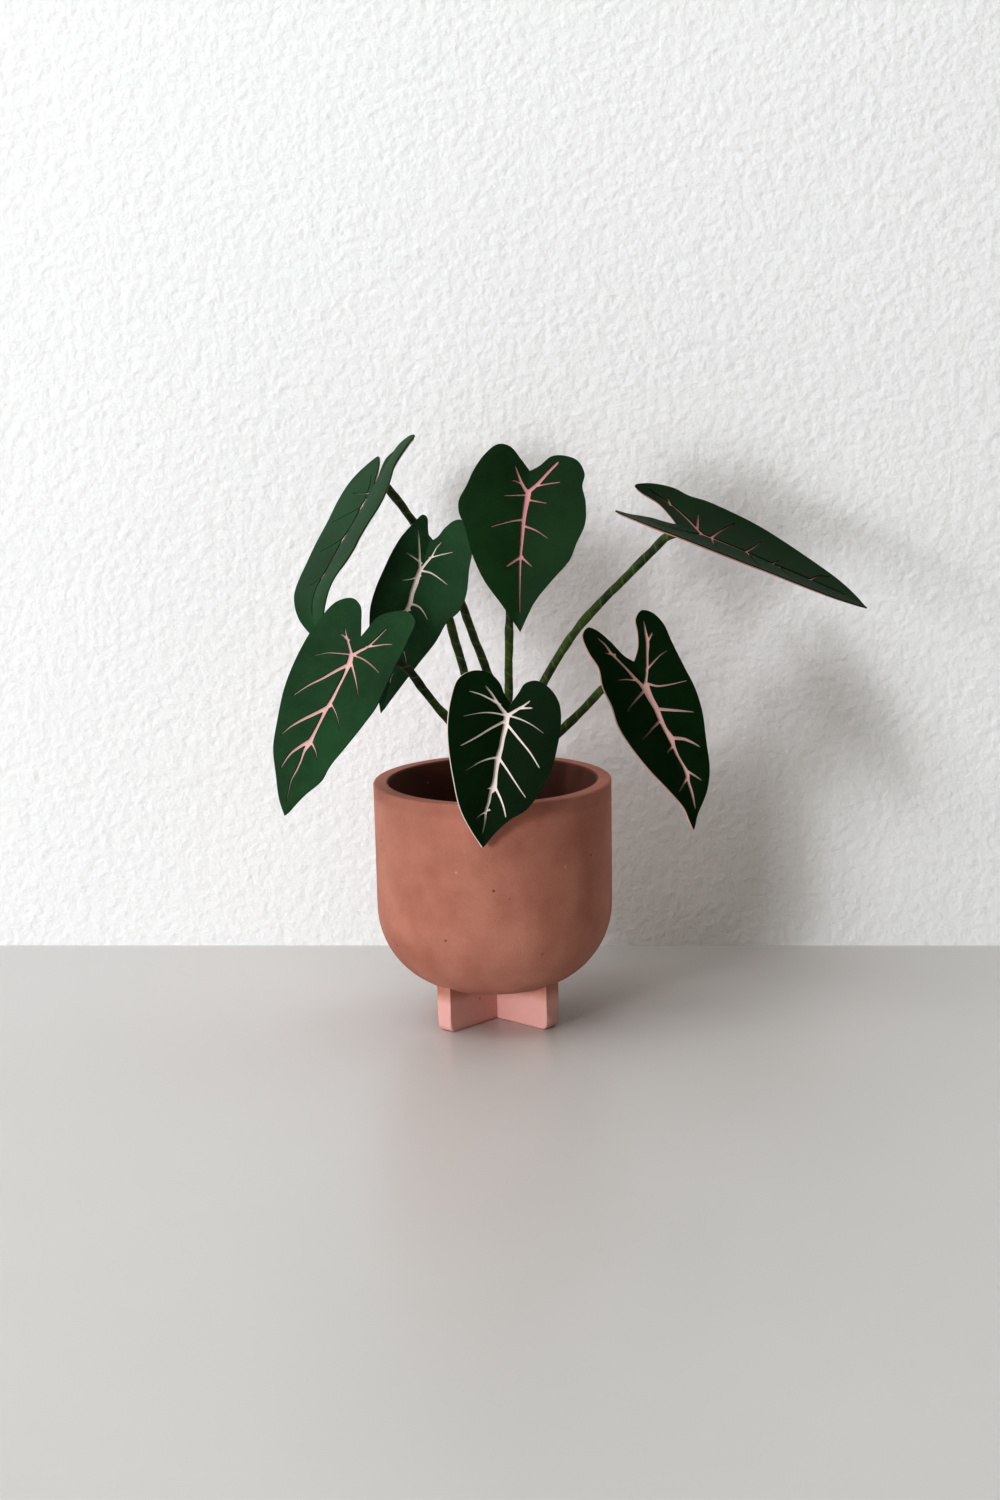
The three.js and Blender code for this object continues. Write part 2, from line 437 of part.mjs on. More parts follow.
// The stem stands in its hole, follows its route and hooks over behind the leaf, down the back of the midrib or,
// where it has an aside, beside it.
function stemGeometry(leaf) {
  const [x, y] = leaf.stem.hole;
  const seat = 2 * sheetThickness + sheetGap + stemGap + stemRadius;
  const behind = (s, away) => leafPoint(leaf, s, leaf.stem.aside ?? 0, seat + away);
  const crest = leaf.sinus[0] + stemRadius + 1.2;
  const points = [
    vec([x, y, holeFloor + clearance]),
    vec([x, y, fillTop - 4]),
    vec([x, y, fillTop + 3]),
    vec([x, y, fillTop + 10]),
    ...leaf.stem.route.map(vec),
  ];
  const seated = crest + hookRadius;
  if (leaf.stem.loops) points.push(behind(seated, 2 * hookRadius), behind(crest, 1.4 * hookRadius));
  points.push(behind(crest, 0.4 * hookRadius), behind(seated, 0), behind(seated + stemSeat, 0));
  const section = new THREE.Shape();
  for (let i = 0; i < stemSides; i++) {
    const angle = (2 * Math.PI * i) / stemSides;
    const place = [stemRadius * Math.cos(angle), stemRadius * Math.sin(angle)];
    if (i === 0) section.moveTo(...place);
    else section.lineTo(...place);
  }
  const extrudePath = new StemCurve(points, false, "centripetal");
  return new THREE.ExtrudeGeometry(section, { steps: 2 * (points.length - 1), extrudePath });
}

function bowlProfile() {
  const arcSteps = 7;
  const centre = [shoulderRadius - bottomCurve, bowlUnderside + bottomCurve];
  const profile = [[0, bowlUnderside]];
  for (let i = 0; i <= arcSteps; i++) {
    const angle = -Math.PI / 2 + (i / arcSteps) * (Math.PI / 2);
    profile.push([centre[0] + bottomCurve * Math.cos(angle), centre[1] + bottomCurve * Math.sin(angle)]);
  }
  profile.push([rimRadius, rimHeight - rimRounding]);
  profile.push([rimRadius - 0.3 * rimRounding, rimHeight - 0.3 * rimRounding]);
  profile.push([rimRadius - rimRounding, rimHeight]);
  profile.push([rimRadius - wallThickness + rimRounding, rimHeight]);
  profile.push([rimRadius - wallThickness + 0.3 * rimRounding, rimHeight - 0.3 * rimRounding]);
  profile.push([rimRadius - wallThickness, rimHeight - rimRounding]);
  return profile.concat(cavityProfile(0).reverse());
}

// The inside of the bowl from the axis up to where the straight wall starts, drawn in by an inset.
function cavityProfile(inset) {
  const arcSteps = 5;
  const radius = bottomCurve - wallThickness - inset;
  const centre = [shoulderRadius - bottomCurve, bowlUnderside + bottomCurve];
  const profile = [[0, centre[1] - radius]];
  for (let i = 0; i <= arcSteps; i++) {
    const angle = -Math.PI / 2 + (i / arcSteps) * (Math.PI / 2);
    profile.push([centre[0] + radius * Math.cos(angle), centre[1] + radius * Math.sin(angle)]);
  }
  return profile;
}

function turned(profile) {
  const points = profile.map(([r, z]) => new THREE.Vector2(r, z));
  return solid(new THREE.LatheGeometry(points, roundSteps).rotateX(Math.PI / 2));
}

// One bar of the cross foot, upright, with rounded lower corners and softened edges.
function footBar(turn) {
  const half = footReach - footEdge;
  const top = bowlUnderside + wallThickness / 2 + 5;
  const shape = new THREE.Shape();
  shape.moveTo(-half, top);
  shape.lineTo(-half, footEdge + footCorner);
  shape.quadraticCurveTo(-half, footEdge, -half + footCorner, footEdge);
  shape.lineTo(half - footCorner, footEdge);
  shape.quadraticCurveTo(half, footEdge, half, footEdge + footCorner);
  shape.lineTo(half, top);
  shape.closePath();
  const bar = new THREE.ExtrudeGeometry(shape, {
    depth: footThickness - 2 * footEdge,
    bevelThickness: footEdge,
    bevelSize: footEdge,
    bevelSegments: 2,
    curveSegments: 4,
  });
  bar.translate(0, 0, -footThickness / 2 + footEdge);
  bar.rotateX(Math.PI / 2);
  bar.rotateZ(turn);
  return solid(bar);
}

function potGeometry() {
  const hollow = turned([...cavityProfile(0), [rimRadius - wallThickness, rimHeight], [0, rimHeight]]);
  const foot = footBar(footTurn).add(footBar(footTurn + Math.PI / 2)).subtract(hollow);
  return geometryOf(turned(bowlProfile()).add(foot));
}

function fillGeometry() {
  const edge = cavityProfile(clearance);
  const wall = shoulderRadius - wallThickness - clearance;
  edge.push([wall, fillTop - 1], [wall - 2, fillTop]);
  edge.push([wall / 2, fillTop + 0.75 * fillCrown], [0, fillTop + fillCrown]);
  let fill = turned(edge);
  for (const { stem } of Object.values(leaves)) {
    const depth = fillTop + 2 * fillCrown - holeFloor;
    const hole = new THREE.CylinderGeometry(stemRadius + clearance, stemRadius + clearance, depth, 12);
    hole.rotateX(Math.PI / 2).translate(stem.hole[0], stem.hole[1], holeFloor + depth / 2);
    fill = fill.subtract(solid(hole));
  }
  return geometryOf(fill);
}

const materials = {
  pot: new THREE.MeshStandardMaterial({ color: 0xb0705c, roughness: 0.85, metalness: 0 }),
  fill: new THREE.MeshStandardMaterial({ color: 0x241a14, roughness: 0.95, metalness: 0 }),
  stem: new THREE.MeshStandardMaterial({ color: 0x4a5a24, roughness: 0.7, metalness: 0 }),
  green: new THREE.MeshStandardMaterial({ color: 0x2c5a3c, roughness: 0.75, metalness: 0 }),
  pink: new THREE.MeshStandardMaterial({ color: 0xdcc0bc, roughness: 0.8, metalness: 0 }),
};

function piece(name, geometry, material) {
  const mesh = new THREE.Mesh(geometry, material);
  mesh.name = name;
  return mesh;
}

const plant = new THREE.Group();
plant.add(piece("pot", potGeometry(), materials.pot));
plant.add(piece("soil_fill", fillGeometry(), materials.fill));
for (const [name, leaf] of Object.entries(leaves)) {
  const group = new THREE.Group();
  const backDepth = sheetThickness + sheetGap;
  const sheet = bentSheet(leaf, flatRegion(leaf, leaf.veins), 0, sheetThickness);
  const backing = bentSheet(leaf, flatRegion(leaf, []), backDepth, backDepth + sheetThickness);
  group.add(piece("leaf_" + name, sheet, materials.green));
  group.add(piece("backing_" + name, backing, materials.pink));
  group.add(piece("stem_" + name, stemGeometry(leaf), materials.stem));
  plant.add(group);
}

export default plant;
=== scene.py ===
# Dresses the paper philodendron: cut-paper leaves, wrapped stems, cast pot, crumbly fill, light and camera.
import math
import random

import bmesh
import bpy
from mathutils import Matrix, Vector, noise
from mathutils.geometry import delaunay_2d_cdt
from mathutils.kdtree import KDTree


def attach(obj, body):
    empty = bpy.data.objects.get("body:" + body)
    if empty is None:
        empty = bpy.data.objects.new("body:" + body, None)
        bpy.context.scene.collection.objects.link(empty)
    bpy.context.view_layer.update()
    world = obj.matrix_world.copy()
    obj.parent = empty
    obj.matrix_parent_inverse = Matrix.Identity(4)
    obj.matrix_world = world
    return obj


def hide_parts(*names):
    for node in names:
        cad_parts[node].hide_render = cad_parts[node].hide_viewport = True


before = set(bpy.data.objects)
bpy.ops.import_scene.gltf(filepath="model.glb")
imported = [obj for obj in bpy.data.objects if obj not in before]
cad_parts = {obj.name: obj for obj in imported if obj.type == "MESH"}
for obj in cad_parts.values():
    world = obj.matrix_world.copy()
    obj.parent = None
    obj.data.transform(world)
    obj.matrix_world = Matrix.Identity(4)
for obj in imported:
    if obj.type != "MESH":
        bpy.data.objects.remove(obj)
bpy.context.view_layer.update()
random.seed(11)
noise.seed_set(11)
mm = 0.001
print("frame loaded with", len(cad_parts), "nodes")


# A smooth centripetal curve through points, the same one as the solids are drawn with.
def smoothCurve(points, perSpan):
    points = [Vector(p) for p in points]
    points = [2 * points[0] - points[1]] + points + [2 * points[-1] - points[-2]]
    curve = []
    for i in range(1, len(points) - 2):
        a, b, c, d = points[i - 1:i + 3]
        before, span, after = [max((q - p).length ** 0.5, 1e-4) for p, q in ((a, b), (b, c), (c, d))]
        leave = ((b - a) / before - (c - a) / (before + span) + (c - b) / span) * span
        arrive = ((c - b) / span - (d - b) / (span + after) + (d - c) / after) * span
        for k in range(perSpan):
            u = k / perSpan
            curve.append(b * (2 * u ** 3 - 3 * u ** 2 + 1) + leave * (u ** 3 - 2 * u ** 2 + u)
                         + c * (3 * u ** 2 - 2 * u ** 3) + arrive * (u ** 3 - u ** 2))
    return curve + [points[-2]]


# Turns corners in mm and faces into an object, smooth but for its edges sharper than the angle.
def makePiece(name, corners, faces, material, sharpAngle=35, uvs=None):
    mesh = bpy.data.meshes.new(name)
    mesh.from_pydata([Vector(c) * mm for c in corners], [], faces)
    if uvs:
        layer = mesh.uv_layers.new(name="wrap")
        for face, faceUvs in zip(mesh.polygons, uvs):
            for loop, uv in zip(face.loop_indices, faceUvs):
                layer.data[loop].uv = uv
    bm = bmesh.new()
    bm.from_mesh(mesh)
    for face in bm.faces:
        face.smooth = True
    for edge in bm.edges:
        if len(edge.link_faces) == 2:
            edge.smooth = edge.calc_face_angle(0) < math.radians(sharpAngle)
    bm.to_mesh(mesh)
    bm.free()
    mesh.materials.append(material)
    piece = bpy.data.objects.new(name, mesh)
    bpy.context.collection.objects.link(piece)
    return piece


# Faces between rings of corners, each ring joined to the next.
def joinRings(count, sides):
    faces = []
    for first in range(0, count * sides, sides):
        for k in range(sides):
            nextK = (k + 1) % sides
            faces.append((first + k, first + nextK, first + sides + nextK, first + sides + k))
    return faces


def settle(piece, node):
    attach(piece, "root")
    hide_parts(node)


def newGroup(name, inputs, outputs):
    tree = bpy.data.node_groups.new(name, "ShaderNodeTree")
    for label, value in inputs.items():
        socket = tree.interface.new_socket(label, in_out="INPUT", socket_type="NodeSocketFloat")
        socket.default_value = value
    for label in outputs:
        tree.interface.new_socket(label, in_out="OUTPUT", socket_type="NodeSocketFloat")
    return tree, tree.nodes.new("NodeGroupInput"), tree.nodes.new("NodeGroupOutput")


# Adds a node; values go to sockets by name or number, or are links when they are sockets themselves.
def addNode(tree, kind, sockets=None, **settings):
    node = tree.nodes.new(kind)
    for key, value in settings.items():
        setattr(node, key, value)
    for key, value in (sockets or {}).items():
        if isinstance(value, bpy.types.NodeSocket):
            tree.links.new(value, node.inputs[key])
        else:
            node.inputs[key].default_value = value
    return node


def placeGroup(tree, group, sockets):
    return addNode(tree, "ShaderNodeGroup", sockets, node_tree=group)


def colourOf(red, green, blue):
    linear = [c / 255 / 12.92 if c < 10.3 else ((c / 255 + 0.055) / 1.055) ** 2.4 for c in (red, green, blue)]
    return (*linear, 1)


def remap(tree, value, low, high, newLow, newHigh):
    return addNode(tree, "ShaderNodeMapRange", {0: value, 1: low, 2: high, 3: newLow, 4: newHigh}).outputs[0]


# Mixes two colours, each a socket or a triple of 0 to 255.
def mixColour(tree, factor, first, second):
    first, second = [colourOf(*c) if isinstance(c, tuple) else c for c in (first, second)]
    return addNode(tree, "ShaderNodeMix", {0: factor, 6: first, 7: second}, data_type="RGBA").outputs[2]


def noiseNode(tree, place, scale, detail, **sockets):
    return addNode(tree, "ShaderNodeTexNoise", {"Vector": place, "Scale": scale, "Detail": detail, **sockets})


def mathNode(tree, operation, first, second=0.0, clamp=False):
    sockets = {0: first, 1: second}
    return addNode(tree, "ShaderNodeMath", sockets, operation=operation, use_clamp=clamp).outputs[0]


# Broad drifts of tone over a surface, for paper, tape, clay, earth and plaster alike.
def makeMottle():
    tree, start, end = newGroup("mottle", {"Size": 40.0, "Contrast": 1.0}, ["Value"])
    place = addNode(tree, "ShaderNodeTexCoord").outputs["Object"]
    broad = noiseNode(tree, place, start.outputs["Size"], 3.0, Roughness=0.55)
    centred = mathNode(tree, "SUBTRACT", broad.outputs[0], 0.5)
    scaled = mathNode(tree, "MULTIPLY", centred, start.outputs["Contrast"])
    tree.links.new(mathNode(tree, "ADD", scaled, 0.5, clamp=True), end.inputs["Value"])
    return tree


fibreLook = {
    "bendNoise": (300.0, 1.0), "bend": 0.0016,  # how the fibres wander, in m
    "width": 0.12, "rise": 0.35,  # of a fibre, as shares of a cell's size and of the tooth's height
    "toothNoise": (2600.0, 2.0),
}


# Short matted fibres and fine tooth, as in card and paper tape.
def makeFibre():
    tree, start, end = newGroup("paperFibre", {"Scale": 900.0}, ["Height", "Value"])
    place = addNode(tree, "ShaderNodeTexCoord").outputs["Object"]
    bendy = noiseNode(tree, place, *fibreLook["bendNoise"])
    push = {0: bendy.outputs["Color"], 1: (fibreLook["bend"],) * 3}
    pushed = addNode(tree, "ShaderNodeVectorMath", push, operation="MULTIPLY")
    moved = addNode(tree, "ShaderNodeVectorMath", {0: place, 1: pushed.outputs[0]}, operation="ADD")
    cells = {"Vector": moved.outputs[0], "Scale": start.outputs["Scale"]}
    strands = addNode(tree, "ShaderNodeTexVoronoi", cells, feature="DISTANCE_TO_EDGE")
    line = remap(tree, strands.outputs["Distance"], 0.0, fibreLook["width"], 1.0, 0.0)
    tooth = noiseNode(tree, place, *fibreLook["toothNoise"])
    height = mathNode(tree, "ADD", mathNode(tree, "MULTIPLY", line, fibreLook["rise"]), tooth.outputs[0])
    tree.links.new(height, end.inputs["Height"])
    tree.links.new(line, end.inputs["Value"])
    return tree


mottle = makeMottle()
mottleSpan = (0.2, 0.8)  # what its values mostly lie between
fibre = makeFibre()


# The mottle at one noise scale and contrast.
def mottled(tree, size, contrast):
    return placeGroup(tree, mottle, {"Size": size, "Contrast": contrast}).outputs[0]


def newMaterial(name):
    material = bpy.data.materials.new(name)
    material.use_nodes = True
    tree = material.node_tree
    return material, tree, tree.nodes["Principled BSDF"]


# Joins what varies over a surface to its shader, and sets the look's gloss.
def dress(tree, shader, look, base, rough, height):
    tree.links.new(base, shader.inputs["Base Color"])
    tree.links.new(remap(tree, rough, *mottleSpan, *look["roughness"]), shader.inputs["Roughness"])
    relief = {"Strength": look["bump"], "Distance": look["depth"], "Height": height}
    tree.links.new(addNode(tree, "ShaderNodeBump", relief).outputs[0], shader.inputs["Normal"])
    shader.inputs["Specular IOR Level"].default_value = look["gloss"]


# Drifts and clouds are given by noise scale and contrast, tones by the span they are drawn from and to.
card = {
    "tone": (0.5, 1.5, 0.0, 1.0),
    "roughness": (0.5, 0.6), "bump": 0.12, "depth": 0.0003, "drift": (28.0, 1.8), "cloud": (160.0, 0.8),
    "grain": 1100.0, "fleck": 0.1, "wear": (1.3, 12),  # a fleck's share, and its gain and lift in tone
}
softCard = {**card, "roughness": (0.6, 0.75), "bump": 0.18, "drift": (28.0, 1.6), "gloss": 0.3}
paperLook = {
    "green": {**card, "dark": (17, 46, 21), "light": (34, 72, 40), "drift": (28.0, 1.6), "gloss": 0.09},
    # The next two are the green card with painted shade, darker for the leaves that lie in shade.
    "shadedGreen": {**card, "dark": (7, 33, 8), "light": (19, 52, 18), "gloss": 0.08},
    "deepShadedGreen": {**card, "dark": (4, 24, 5), "light": (12, 38, 11), "gloss": 0.04},
    "rose": {**softCard, "dark": (194, 130, 134), "light": (212, 150, 150)},
    "petal": {**softCard, "dark": (202, 156, 152), "light": (220, 178, 172)},
    "blush": {**softCard, "dark": (240, 220, 213), "light": (252, 238, 232)},
}


def makePaper(name, look):
    material, tree, shader = newMaterial(name)
    drift, clouds = mottled(tree, *look["drift"]), mottled(tree, *look["cloud"])
    grain = placeGroup(tree, fibre, {"Scale": look["grain"]})
    tone = remap(tree, mathNode(tree, "ADD", drift, clouds), *look["tone"])
    base = mixColour(tree, tone, look["dark"], look["light"])
    gain, lift = look["wear"]
    worn = tuple(min(255, c * gain + lift) for c in look["light"])
    flecked = mixColour(tree, remap(tree, grain.outputs["Value"], 0.0, 1.0, 0.0, look["fleck"]), base, worn)
    dress(tree, shader, look, flecked, clouds, grain.outputs["Height"])
    return material


stemLook = {
    "dark": (24, 36, 10), "light": (78, 104, 38), "pitch": 6.5,  # mm of stem to one turn of the tape
    "edgeFrom": 0.82, "rise": 1.4,  # the share of a lap after which its edge is worn, and a lap's relief
    "tone": (0.6, 1.5, 0.0, 0.8), "cloud": (70.0, 2.2), "fine": (500.0, 1.3), "grain": 1300.0,
    "roughness": (0.5, 0.68), "gloss": 0.25, "bump": 0.5, "depth": 0.0003,
}


# Paper tape wound on wire: slanting laps with a worn, lighter edge. The wrap map holds the share of a
# turn round the stem, and the mm along it.
def makeTape():
    material, tree, shader = newMaterial("stemTape")
    place = addNode(tree, "ShaderNodeUVMap", uv_map="wrap").outputs[0]
    parts = addNode(tree, "ShaderNodeSeparateXYZ", {0: place})
    turns = mathNode(tree, "DIVIDE", parts.outputs[1], stemLook["pitch"])
    lap = mathNode(tree, "FRACT", mathNode(tree, "ADD", turns, parts.outputs[0]))
    clouds, fine = mottled(tree, *stemLook["cloud"]), mottled(tree, *stemLook["fine"])
    grain = placeGroup(tree, fibre, {"Scale": stemLook["grain"]})
    edge = remap(tree, lap, stemLook["edgeFrom"], 1.0, 0.0, 1.0)
    cloudy = remap(tree, mathNode(tree, "ADD", clouds, fine), *stemLook["tone"])
    tone = mathNode(tree, "ADD", cloudy, edge, clamp=True)
    base = mixColour(tree, tone, stemLook["dark"], stemLook["light"])
    height = mathNode(tree, "ADD", mathNode(tree, "MULTIPLY", lap, stemLook["rise"]), grain.outputs["Height"])
    dress(tree, shader, stemLook, base, fine, height)
    return material


papers = {name: makePaper(name + "Paper", look) for name, look in paperLook.items()}
stemTape = makeTape()
print("paper and tape mixed")


# Drawn flat in mm, along the midrib from where the veins meet and across it, tip and right half positive.
# Veins are (points, widths): two widths taper evenly, else there is one for each point. Each half is tilted
# by fold, in degrees, and curls and droops by degrees a mm. A stem that loops hooks over the top of its
# leaf. The lining of a leaf with a slip shows at an edge.
leaves = {
    "top": {
        "at": (17, -8, 224.6), "pointing": (-0.11, -0.306, -0.946), "facing": (-0.198, -0.926, 0.323),
        "card": "shadedGreen", "lining": "rose",
        "fold": 14, "curl": -0.34, "droop": 0.17, "sinus": (-8.5, 0), "tip": (58, 1),
        "right": [(-10.5, 4), (-14.5, 9), (-15, 14), (-13, 20.5), (-7.5, 24), (-2.5, 23.5), (4, 25.5),
                  (13, 26), (21, 23), (28, 20.5), (36, 14), (45, 7), (52, 3.5)],
        "left": [(-13, -4), (-18, -9), (-18.5, -14), (-14, -19), (-7, -23), (0, -25.5), (6, -28), (11, -27.5),
                 (17, -24.5), (27, -21), (38, -15), (47, -7.5), (54, -2)],
        "veins": [
            ([(-0.5, 0.3), (3, 0), (9, -0.6), (14, -0.8), (20, -0.8), (27, -0.9), (37, -0.5), (50, 0.3)],
             [3, 2.9, 2.3, 2, 1.6, 1.3, 0.9, 0.6]),
            ([(0, 0.5), (-3.3, 4.2), (-7.5, 7.8), (-11.7, 11.8)], [2.2, 1.3]),
            ([(-2.3, 4.3), (-3, 8), (-3.8, 13.4)], [1, 0.6]),
            ([(0.5, -0.4), (-2.7, -2.7), (-6.7, -4.7), (-10.3, -6.3)], [1.9, 0.5]),
            ([(-2.8, -3.1), (-3.5, -5), (-4, -7)], [0.8, 0.4]),
            ([(1.8, -1.3), (2.8, -9.6)], [0.8, 0.4]), ([(3.8, 1.3), (5, 8.5)], [0.9, 0.4]),
            ([(12.2, -1.8), (13, -5.5), (16, -13.8)], [1, 0.4]),
            ([(14.8, 0.3), (16.2, 4.7), (19.3, 10.3)], [1, 0.4]),
            ([(27.7, -1.2), (31.5, -6.1)], [1.3, 0.8]), ([(27.8, -0.2), (31, 4.1)], [1.2, 0.5])],
        "hole": (1.5, 1), "loops": True, "route": [(7.2, 2, 135.6), (8.1, 5, 160.7), (10.8, 6.5, 194.2)],
    },
    "midLeft": {
        "at": (-28, 16, 189.7), "pointing": (-0.299, -0.12, -0.947), "facing": (-0.139, -0.976, 0.167),
        "card": "green", "lining": "blush",
        "fold": 24, "curl": -0.46, "droop": 0.17, "sinus": (-12, 0), "tip": (64, -0.5),
        "right": [(-14.5, 3), (-19.5, 5.5), (-23.5, 9), (-24.5, 12.5), (-21.5, 17.5), (-14, 20.5), (-6, 21.5),
                  (5, 23.5), (12, 22.5), (18, 18.5), (27, 16), (38, 11), (49, 6), (58, 2)],
        "left": [(-16.5, -2), (-21.5, -4), (-22, -6), (-18, -8.5), (-11, -12), (-4, -14), (5, -15.5),
                 (13, -16.5), (21, -16.5), (28, -15), (38, -12), (48, -8), (57, -3.5)],
        "veins": [
            ([(-0.8, -0.2), (1.9, -0.6), (5.9, -0.7), (11.2, -1), (15.1, -0.7), (19.2, -1.3), (30, -1),
              (50, 0)],
             [2.2, 2.2, 2.4, 2.2, 2.2, 1.95, 1.5, 0.6]),
            ([(-0.6, -0.9), (-5.4, -2.5), (-11.4, -4.6), (-15.3, -6.1)], [1.4, 1.1, 0.9, 0.4]),
            ([(-2.6, -1.7), (-3.6, -4.4), (-4.7, -7.9)], [0.9, 0.75, 0.4]),
            ([(-0.5, 0.1), (-3.7, 1.6), (-6, 2.9), (-10.2, 4), (-13.1, 5.5)], [1.6, 1.5, 1.2, 0.9, 0.5]),
            ([(-5.8, 2.9), (-7.9, 6.8), (-10.4, 11.9)], [0.9, 0.7, 0.4]),
            ([(0.7, 0.8), (0.5, 4.6), (1.5, 9), (3.2, 14)], [1, 0.84, 0.7, 0.35]),
            ([(3.4, -0.6), (5.1, -2.7), (6.8, -6.7)], [1.2, 0.7, 0.3]),
            ([(15.4, -0.2), (15.4, 3.5), (16.9, 6.6), (19.2, 9.3)], [1.1, 1, 0.9, 0.55]),
            ([(18.4, -1), (20.5, -4.5), (24, -8)], [1.2, 0.5]),
            ([(33, -0.9), (36, 3), (40, 5.5)], [1.1, 0.5])],
        "hole": (-7.5, 3.5), "loops": True,
        "route": [(-8.7, 5, 135.4), (-11.4, 9, 148.5), (-15.9, 16, 164), (-19.8, 24, 181)],
    },
    "upperLeft": {
        "at": (-51.3, 28.5, 217.6), "pointing": (-0.421, -0.601, -0.679), "facing": (-0.762, -0.172, 0.625),
        "card": "green", "lining": "petal",
        "fold": 10.9, "curl": -0.1, "curlRight": -0.79, "droop": 2.5, "droopFrom": 46, "sinus": (-8.5, 0),
        "tip": (76, 0),
        "right": [(-13, -0.8), (-19, -2.4), (-24.5, -3), (-28, 0.5), (-28.8, 6), (-28.8, 12), (-28.6, 18),
                  (-27, 21.5), (-23, 19.6), (-17, 17.8), (-11.5, 17.4), (-6, 19.8), (0, 22.6), (7, 24.8),
                  (14, 25.2), (22.5, 23.6), (30, 23), (36, 23.8), (43.5, 22.8), (49, 20.6), (54, 18),
                  (59, 15), (64, 11), (70, 6)],
        "left": [(-12.5, -2.4), (-18.8, -5), (-25, -8.6), (-28, -11.5), (-26, -16), (-21.7, -21.3),
                 (-16, -24.7), (-7, -25.7), (4, -24.5), (15, -23.5), (29, -21.4), (37, -20.2), (45.3, -17.4),
                 (52.6, -13.4), (60, -9.2), (67, -4.6)],
        "veins": [
            ([(-1, 0), (1, 0), (4, 0), (8, 0), (17, 0), (20.5, 0), (23, 0), (27, 0), (37, 0), (41, 0),
              (44, 0), (60, 0)],
             [2.4, 4.4, 3.2, 2.1, 1.9, 4.2, 2.8, 1.9, 1.8, 3, 1.8, 0.7]),
            ([(0, -0.8), (-6.5, -3), (-10.9, -4.7), (-16.2, -7.9)], [0.9, 0.4]),
            ([(0, 0.8), (-4, 1.4), (-8, 2.2), (-12, 4)], [0.9, 0.4]),
            ([(-4.6, -2), (-5.8, -8), (-7.9, -15.1)], [0.9, 0.4]),
            ([(3.4, -0.6), (6, -11.3), (7.5, -19.5)], [0.9, 0.35]), ([(3.2, 0.8), (5.5, 4.2)], [0.9, 0.4]),
            ([(20.6, -0.5), (23.3, -6.4), (25.2, -14.6)], [0.9, 0.35]), ([(21.4, 0.6), (24, 4)], [0.9, 0.4]),
            ([(40.6, -0.2), (43.3, -2.8), (45.5, -7)], [0.9, 0.4]), ([(40.8, 0.2), (43, 3.2)], [0.9, 0.4])],
        "hole": (-2, 8),
        "route": [(2.6, 10, 135.7), (-2.2, 14, 147.7), (-7.8, 19, 163.3), (-14.3, 27, 179.5),
                  (-22.5, 33, 194.9), (-33.2, 37.5, 209.3), (-40, 38.6, 218.4), (-43.2, 37, 222.6)],
    },
    "lowLeft": {
        "at": (-55.9, -37, 162.8), "pointing": (-0.44, -0.433, -0.786), "facing": (-0.416, -0.677, 0.607),
        "card": "green", "lining": "petal",
        "fold": 10, "curl": -0.29, "droop": 0.23, "sinus": (-8.5, 0), "tip": (70.5, -1),
        "right": [(-13, 1.5), (-18.5, 3.5), (-22, 10), (-23.5, 17), (-20, 23.5), (-12, 24.7), (0, 25),
                  (12, 25.2), (19, 25), (27, 22.5), (38, 18), (47, 14), (53, 12.5), (61, 5.5)],
        "left": [(-15.5, -3.5), (-21.5, -7), (-23.5, -12), (-20, -18), (-12, -21), (-2, -22.7), (10, -23),
                 (22, -22), (36, -18.7), (46, -16), (56, -10.5), (65, -5.5)],
        "veins": [
            ([(-0.4, -0.2), (3.2, 0.9), (8.7, 1.4), (15, 1.2), (20.6, 0.9), (24.4, 0.1), (30, -0.3),
              (36, -0.8), (39.7, -1.2), (43.4, -2), (48, -1.9), (52, -2.3), (56, -3.1), (64.4, -2.3)],
             [2.7, 3.4, 2.2, 2.2, 2.6, 2.4, 1.8, 2, 2.8, 1.7, 1.2, 1.1, 0.8, 0.5]),
            ([(-1.1, -0.8), (-4.9, -4.1), (-7.5, -6.5), (-10.2, -8.5)], [1.4, 0.5]),
            ([(-6, -5.1), (-6.8, -7.1), (-7.1, -9.2)], [1.1, 0.5]),
            ([(-0.6, 0.8), (-2.9, 3.5), (-5, 6.2), (-9.2, 8.7), (-14.2, 11.1)], [2.5, 1]),
            ([(-5, 6.2), (-6.3, 10.5), (-7.5, 14.3), (-8.1, 17.7)], [1.4, 0.7]),
            ([(-0.3, -0.6), (0.7, -5), (2, -10.2), (4.8, -15.7)], [1, 0.5]),
            ([(-0.2, 1.1), (0.6, 6.9), (2.3, 12.4), (4.8, 18.4)], [1, 0.4]),
            ([(3.6, 0.9), (8, -3.1), (13, -7.4), (17.6, -12.1), (22.9, -16.4)], [2.2, 0.7]),
            ([(3.9, 2.5), (8.7, 7.2), (12.6, 10.7), (17, 14.1)], [1.4, 0.4]),
            ([(22.9, 1), (27.2, -3.4), (32.3, -8.9), (35.9, -12.2), (39.5, -14.5)], [2.3, 0.6]),
            ([(22.3, 1.8), (25.2, 5.9), (28.9, 9.7), (31.5, 12)], [0.9, 0.35]),
            ([(39, -1.5), (42.2, -4.5), (45.3, -7), (48.7, -8.5), (52.4, -9.4)], [2, 0.75]),
            ([(39.5, -0.3), (42.2, 3.5), (45.5, 6.4)], [1.3, 0.45])],
        "hole": (-7, -4),
        "route": [(-8.2, -6, 113.2), (-17, -12, 129.5), (-25.8, -17, 141.6), (-35.5, -22.5, 155.8)],
    },
    "front": {
        "at": (6.5, -54, 139), "pointing": (-0.202, -0.06, -0.978), "facing": (-0.085, -0.993, 0.079),
        "card": "deepShadedGreen", "lining": "blush",
        "fold": 20, "curl": -0.52, "droop": 0.11, "sinus": (-6, 0.5), "tip": (54, 0),
